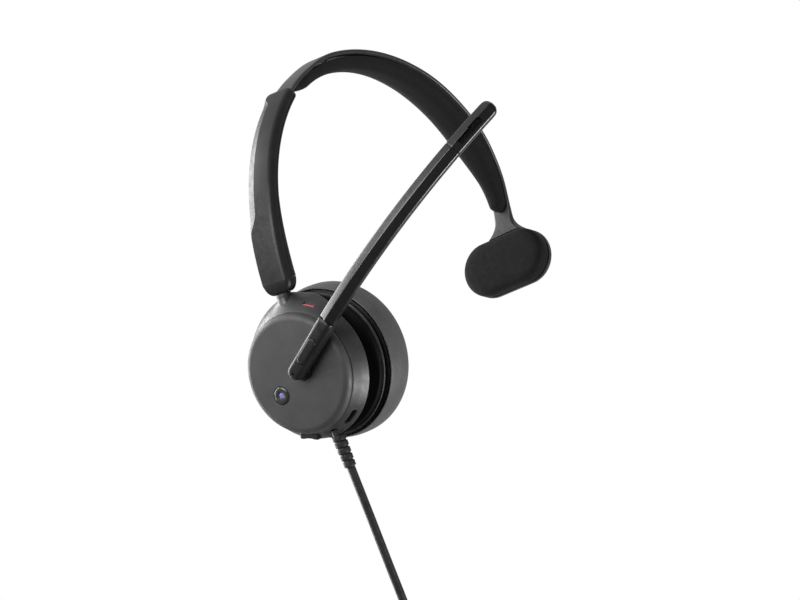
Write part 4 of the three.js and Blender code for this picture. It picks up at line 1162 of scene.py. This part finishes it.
def inflate(obj):
    """Lets the skin swell a little under pressure, with the rim that is clamped to the ring held."""
    start = [v.co.copy() for v in obj.data.vertices]
    inverse = CUP.inverted()
    held = obj.vertex_groups.new(name="held")
    for vertex in obj.data.vertices:
        place = inverse @ (vertex.co / MM)
        clamped = 1 - blend_in(place.x, CUSHION_X + 1.5, CUSHION_X + 5)
        if clamped > 0:
            held.add([vertex.index], clamped, "REPLACE")
    cloth = obj.modifiers.new("swell", "CLOTH")
    cloth.settings.use_pressure = True
    cloth.settings.uniform_pressure_force = 4
    cloth.settings.effector_weights.gravity = 0
    cloth.settings.quality = 6
    cloth.settings.mass = 0.15
    cloth.settings.tension_stiffness = cloth.settings.compression_stiffness = 25
    cloth.settings.bending_stiffness = 1.5
    cloth.settings.vertex_group_mass = "held"
    cloth.point_cache.frame_start = 1
    cloth.point_cache.frame_end = SWELL_FRAMES
    for number in range(1, SWELL_FRAMES + 1):
        bpy.context.scene.frame_set(number)
    apply_modifiers(obj)
    bpy.context.scene.frame_set(1)
    limit = SWELL_LIMIT * MM
    face = CUP_DEPTH + 0.25
    for vertex, place in zip(obj.data.vertices, start):
        move = vertex.co - place
        if move.length > limit:
            vertex.co = place + move * (limit / move.length)
        local = inverse @ (vertex.co / MM)
        if local.x > face:
            local.x = face
            vertex.co = (CUP @ local) * MM
    obj.vertex_groups.clear()


def make_ear_scrim():
    """The thin cloth over the speaker, seen through the cushion's hole."""
    edge = CUSHION_HOLE + 0.6
    radii = (9.5, 6.5, 3.5, 1.2, 0)
    profile = [(19.5, edge), (18.6, edge)]
    for x, row in ((18.6, radii), (19.3, reversed(radii))):
        profile += [(x + 0.5 * math.cos(math.pi / 2 * r / edge), r) for r in row]
    scrim = turned("ear_scrim", profile, CUP, 96)
    finish_piece(scrim, SCRIM, "ear_pad", "pad_soft")


# ------------ The boom ------------


BOOM_FACE = BOOM_X - BOOM_THICK / 2
CALL = moved(BOOM, 0, 0, CALL_CENTRE)


def boom_point(along, depth, across):
    """A point on the boom, in the boom's own frame: straight at first, then bending inwards."""
    bend = max(0, along - BOOM_STRAIGHT) / BOOM_BEND_RADIUS
    x = BOOM_X + BOOM_BEND_RADIUS * (1 - math.cos(bend))
    z = min(along, BOOM_STRAIGHT) + BOOM_BEND_RADIUS * math.sin(bend)
    return (x + depth * math.cos(bend), across, z - depth * math.sin(bend))


def boom_loft(name, stations, section, crease=30):
    rings = [[boom_point(s, d, a) for d, a in section(s)] for s in stations]
    return lofted(name, rings, BOOM, crease)


def ridged_section(thick, width, soft=0.8):
    """Two outer facets that meet at a ridge, and trimmed corners on the inner side."""
    t, w = thick / 2, width / 2
    return rounded([
        (t, -0.55 * w, soft), (t, 0.55 * w, soft), (0.5 * t, w, soft), (-0.52 * t, w, soft),
        (-t, 0.04 * w, soft * 0.7), (-0.44 * t, -w, soft), (0.5 * t, -w, soft),
    ], 6)


def end_curve(length, steps=12):
    """Distances from an end at which a rounded tip is cut into rings."""
    return [length * (1 - math.sin(math.pi / 2 * k / steps)) for k in range(steps + 1)]


def make_boom_base():
    """The pivoting finger: flat outside with soft edges, a round foot and a square end."""
    foot = BOOM_WIDTH / 2

    def section(along):
        from_foot = along + foot
        width = 2 * math.sqrt(max(0.02, foot ** 2 - max(0, -along) ** 2))
        edge = 1.8
        soft = 1 - math.sqrt(max(0, 1 - (1 - min(1, from_foot / edge)) ** 2))
        near_end = min(1, (BOOM_BASE_END - along) / 0.25)
        trim = 0.12 * (1 - near_end)
        half = BOOM_THICK / 2 - trim
        low, high = -half + edge * soft, half - 0.5 * soft
        outer = min(edge, width * 0.42)
        inner = min(0.5, width * 0.3)
        w = width / 2 - trim
        return rounded([
            (high, -w, inner), (high, w, inner), (low, w, outer), (low, -w, outer),
        ], 6)

    stations = [-foot + 0.02 + d for d in reversed(end_curve(foot, 18))]
    stations += steps_between(1, BOOM_BASE_END - 0.25, 1.5) + [BOOM_BASE_END - 0.1, BOOM_BASE_END]
    base = boom_loft("boom_finger", stations, section, 35)
    shaft_top = BOOM_X + BOOM_THICK / 2 - 0.4
    shaft = turned("shaft", rounded([
        (shaft_top, 0, 0), (shaft_top, 3.9, 0.1), (-1.4, 3.9, 0.1), (-1.4, 2.9, 0), (-0.3, 2.9, 0),
        (-0.3, 3.9, 0), (0.6, 3.9, 0.3), (0.6, 0, 0),
    ], 3), BOOM, 64)
    outline = upright(stadium(CALL_LENGTH + 0.36, CALL_WIDTH + 0.36, 24))
    pocket = plate("pocket", outline, BOOM_FACE - 1, BOOM_FACE + 2.2, CALL)
    mic_hole = rod(BOOM_FACE - 2, BOOM_FACE + 1.6, 0.42, moved(BOOM, 0, 0, -0.6), 24)
    base = cut(join(base, shaft), pocket, mic_hole)
    finish_piece(base, BOOM_SATIN, "boom", "boom_satin", "boom_base")


def make_call_button():
    """The long key, a little proud of the finger's face."""
    rings = []
    outline = upright(stadium(CALL_LENGTH, CALL_WIDTH, 24))
    for rise, inset in (
        (-1.0, 0), (-0.1, 0), (0.1, 0.06), (0.22, 0.2), (0.28, 0.45), (0.3, 0.9),
    ):
        rings.append([(BOOM_FACE - rise, u, v) for u, v in shrunk(outline, inset)])
    key = lofted("call_key", rings, CALL, 50)
    finish_piece(key, BOOM_SATIN, "call_button", "boom_satin", "call_button")


def make_boom_arm():
    """The hollow glossy arm between the finger and the microphone's tip."""
    start = BOOM_BASE_END + GAP * 0.5

    def section(along):
        trim = 0.1 * max(0, 1 - min(along - start, BOOM_MIC_START - along) / 0.15)
        return ridged_section(BOOM_THICK - trim, BOOM_WIDTH - 0.1 - trim)

    stations = [start, start + 0.15] + steps_between(start + 1, BOOM_MIC_START - 1, 1.5)
    stations += [BOOM_MIC_START - 0.15, BOOM_MIC_START]
    arm = boom_loft("boom_tube", stations, section, 20)
    hollow = steps_between(BOOM_BASE_END - 1, BOOM_MIC_START + 1, 5)
    arm = cut(arm, boom_loft("bore", hollow, lambda along: rounded_box(-1.2, 1.4, 3.0, 0.5)))
    shade(arm, 30)
    finish_piece(arm, BOOM_GLOSS, "boom", "boom_gloss", "boom_arm")


def square(low, high, left, right):
    """A rectangle as (depth, across) corners."""
    return [(low, left), (low, right), (high, right), (high, left)]


def make_mic_tip():
    """The blunt tip, with a stepped pocket in its lower edge for the microphones."""
    start = BOOM_MIC_START + GAP * 0.35

    def section(along):
        left = min(1, (BOOM_END - along + 0.01) / 2.6)
        closing = max(0.0008, 1 - (1 - left) ** 2.4) ** (1 / 2.2)
        trim = 0.1 * max(0, 1 - (along - start) / 0.15)
        ridge = ridged_section(BOOM_THICK - trim, BOOM_WIDTH - trim)
        smooth = 0.5 * blend_in(along, BOOM_END - 4, BOOM_END - 0.5)
        ring = []
        for depth, across in ridge:
            away = Vector((depth, across))
            round_point = away.normalized() * (BOOM_THICK + BOOM_WIDTH) / 4
            place = away.lerp(round_point, smooth) * closing
            ring.append((place.x, place.y))
        return ring

    stations = [start, start + 0.15] + steps_between(start + 1, BOOM_END - 2.7, 0.9)
    stations += [BOOM_END - d for d in end_curve(2.6, 16)]
    tip = boom_loft("mic_head", stations, section, 20)
    long_stations = steps_between(MIC_POCKET_START, MIC_POCKET_END, 1.1)
    step_stations = steps_between(111.4, 116.2, 1.2)
    tip = cut(
        tip, boom_loft("pocket", long_stations, lambda along: square(-4, -0.7, -1.9, 0.0)),
        boom_loft("step", step_stations, lambda along: square(-4, -1.35, -1.9, 0.4)),
    )
    shade(tip, 30)
    finish_piece(tip, BOOM_GLOSS, "boom", "boom_gloss", "mic_tip")


def make_mic_grille():
    """Twelve ribs across the microphones' pocket on three rails along it."""
    first, last = MIC_POCKET_START + 0.4, MIC_POCKET_END - 0.4
    ribs = []
    for i in range(12):
        middle = first + (last - first) * i / 11
        ribs.append(boom_loft("rib", [middle - 0.16, middle + 0.16], lambda along: (
            rounded_box(-1.75, -1.25, 1.7, 0.08, 2)
        )))
    rails = [
        boom_loft("rail", steps_between(first - 0.2, last + 0.2, 2), lambda along, y=y: (
            square(-1.3, -1.65, y - 0.13, y + 0.13)
        )) for y in (-0.5, 0.0, 0.5)
    ]
    screen = join(ribs[0], *ribs[1:], *rails)
    screen.name = "mic_screen"
    for vertex in screen.data.vertices:
        vertex.co += (BOOM.to_3x3() @ Vector((0, -0.95, 0))) * MM
    finish_piece(screen, DEEP_BLACK, "boom", "dark_plastic", "mic_grille")


make_cup_body()
make_cup_cover()
make_busylight()
make_vent_screen()
make_volume_rocker()
make_status_button()
make_speaker_housing()
make_ear_cushion()
make_ear_scrim()
make_boom_base()
make_call_button()
make_boom_arm()
make_mic_tip()
make_mic_grille()

INNER_LOOKS = (
    (STEEL, (
        "spring_core", "strip_end_stop", "detent_leaf", "cover_screw_1", "cover_screw_2",
        "cover_screw_3", "neck_pin", "friction_washer", "gimbal_pin_front", "gimbal_pin_rear",
        "driver_magnet", "boom_retainer",
    )),
    (DARK_PLASTIC, (
        "mic_capsule_1", "mic_capsule_2", "status_switch", "call_switch", "gimbal_bracket",
        "baffle_plate", "driver_frame", "cushion_ring", "speaker_grille",
    )),
    (BOARD, ("main_board",)),
    (RUBBER, ("boom_wire",)),
    (FILM, ("driver_diaphragm",)),
    (GOLD, ("plug_contacts",)),
)
for look, inner_nodes in INNER_LOOKS:
    for node in inner_nodes:
        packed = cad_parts[node]
        packed.data.materials.clear()
        packed.data.materials.append(look)

# ------------ Light, floor and world ------------

FLOOR_Z = -262


def make_floor():
    half = 4000
    floor = mesh_object(
        "studio_floor", [(-half, -half, FLOOR_Z), (half, -half, FLOOR_Z), (half, half, FLOOR_Z),
                         (-half, half, FLOOR_Z)], [(0, 1, 2, 3)],
    )
    floor.data.materials.append(material("studio_floor", grey(0.82), 0.8, tint=0.01, tint_size=400))
    floor.visible_diffuse = floor.visible_glossy = floor.visible_shadow = False


def make_light(name, towards, distance, size, power):
    """A soft light that shines on the headset from a direction given in the camera's axes."""
    right, up, back = camera_axes()
    way = (right * towards[0] + up * towards[1] + back * towards[2]).normalized()
    light = bpy.data.lights.new(name, "AREA")
    light.shape = "RECTANGLE"
    light.size, light.size_y = size
    light.energy = power
    obj = bpy.data.objects.new(name, light)
    facing = way.to_track_quat("Z", "Y").to_matrix().to_4x4()
    obj.matrix_world = Matrix.Translation((CAMERA_TARGET + way * distance) * MM) @ facing
    bpy.context.scene.collection.objects.link(obj)


def make_world():
    """White to look at. As light, it is bright behind the headset and dim on the viewer's side."""
    world = bpy.data.worlds.new("studio")
    bpy.context.scene.world = world
    world.use_nodes = True
    tree = world.node_tree
    tree.nodes.clear()
    right, up, back = camera_axes()
    dim_side = (back * 0.80 + right * 0.52 - up * 0.30).normalized()
    direction = add_node(tree, "TexCoord", {}).outputs["Generated"]
    facing = add_node(tree, "VectorMath", {0: direction, 1: dim_side}, operation="DOT_PRODUCT")
    spread = add_node(tree, "MapRange", {
        "Value": facing.outputs["Value"], "From Min": -0.55, "From Max": 0.15, "To Min": 0.75,
        "To Max": 0.10,
    }, interpolation_type="SMOOTHSTEP")
    around = add_node(tree, "Background", {"Strength": spread.outputs["Result"]})
    seen = add_node(tree, "Background", {"Color": (1, 1, 1, 1), "Strength": 1.0})
    choose = add_node(tree, "MixShader", {
        0: add_node(tree, "LightPath", {}).outputs["Is Camera Ray"],
        1: around.outputs["Background"], 2: seen.outputs["Background"],
    })
    add_node(tree, "OutputWorld", {"Surface": choose.outputs["Shader"]})


bpy.context.scene.view_settings.view_transform = "Standard"
make_world()
make_floor()
make_light("key", (-0.8, 0.35, 0.75), 420, (0.3, 0.3), 2.0)
make_light("left", (-1.0, 0.15, -0.3), 900, (0.35, 0.9), 7.0)
make_light("behind left", (-0.8, 0.0, -0.6), 900, (0.3, 0.9), 9.0)
make_light("low right", (0.85, -0.45, 0.30), 900, (0.5, 0.5), 11.0)
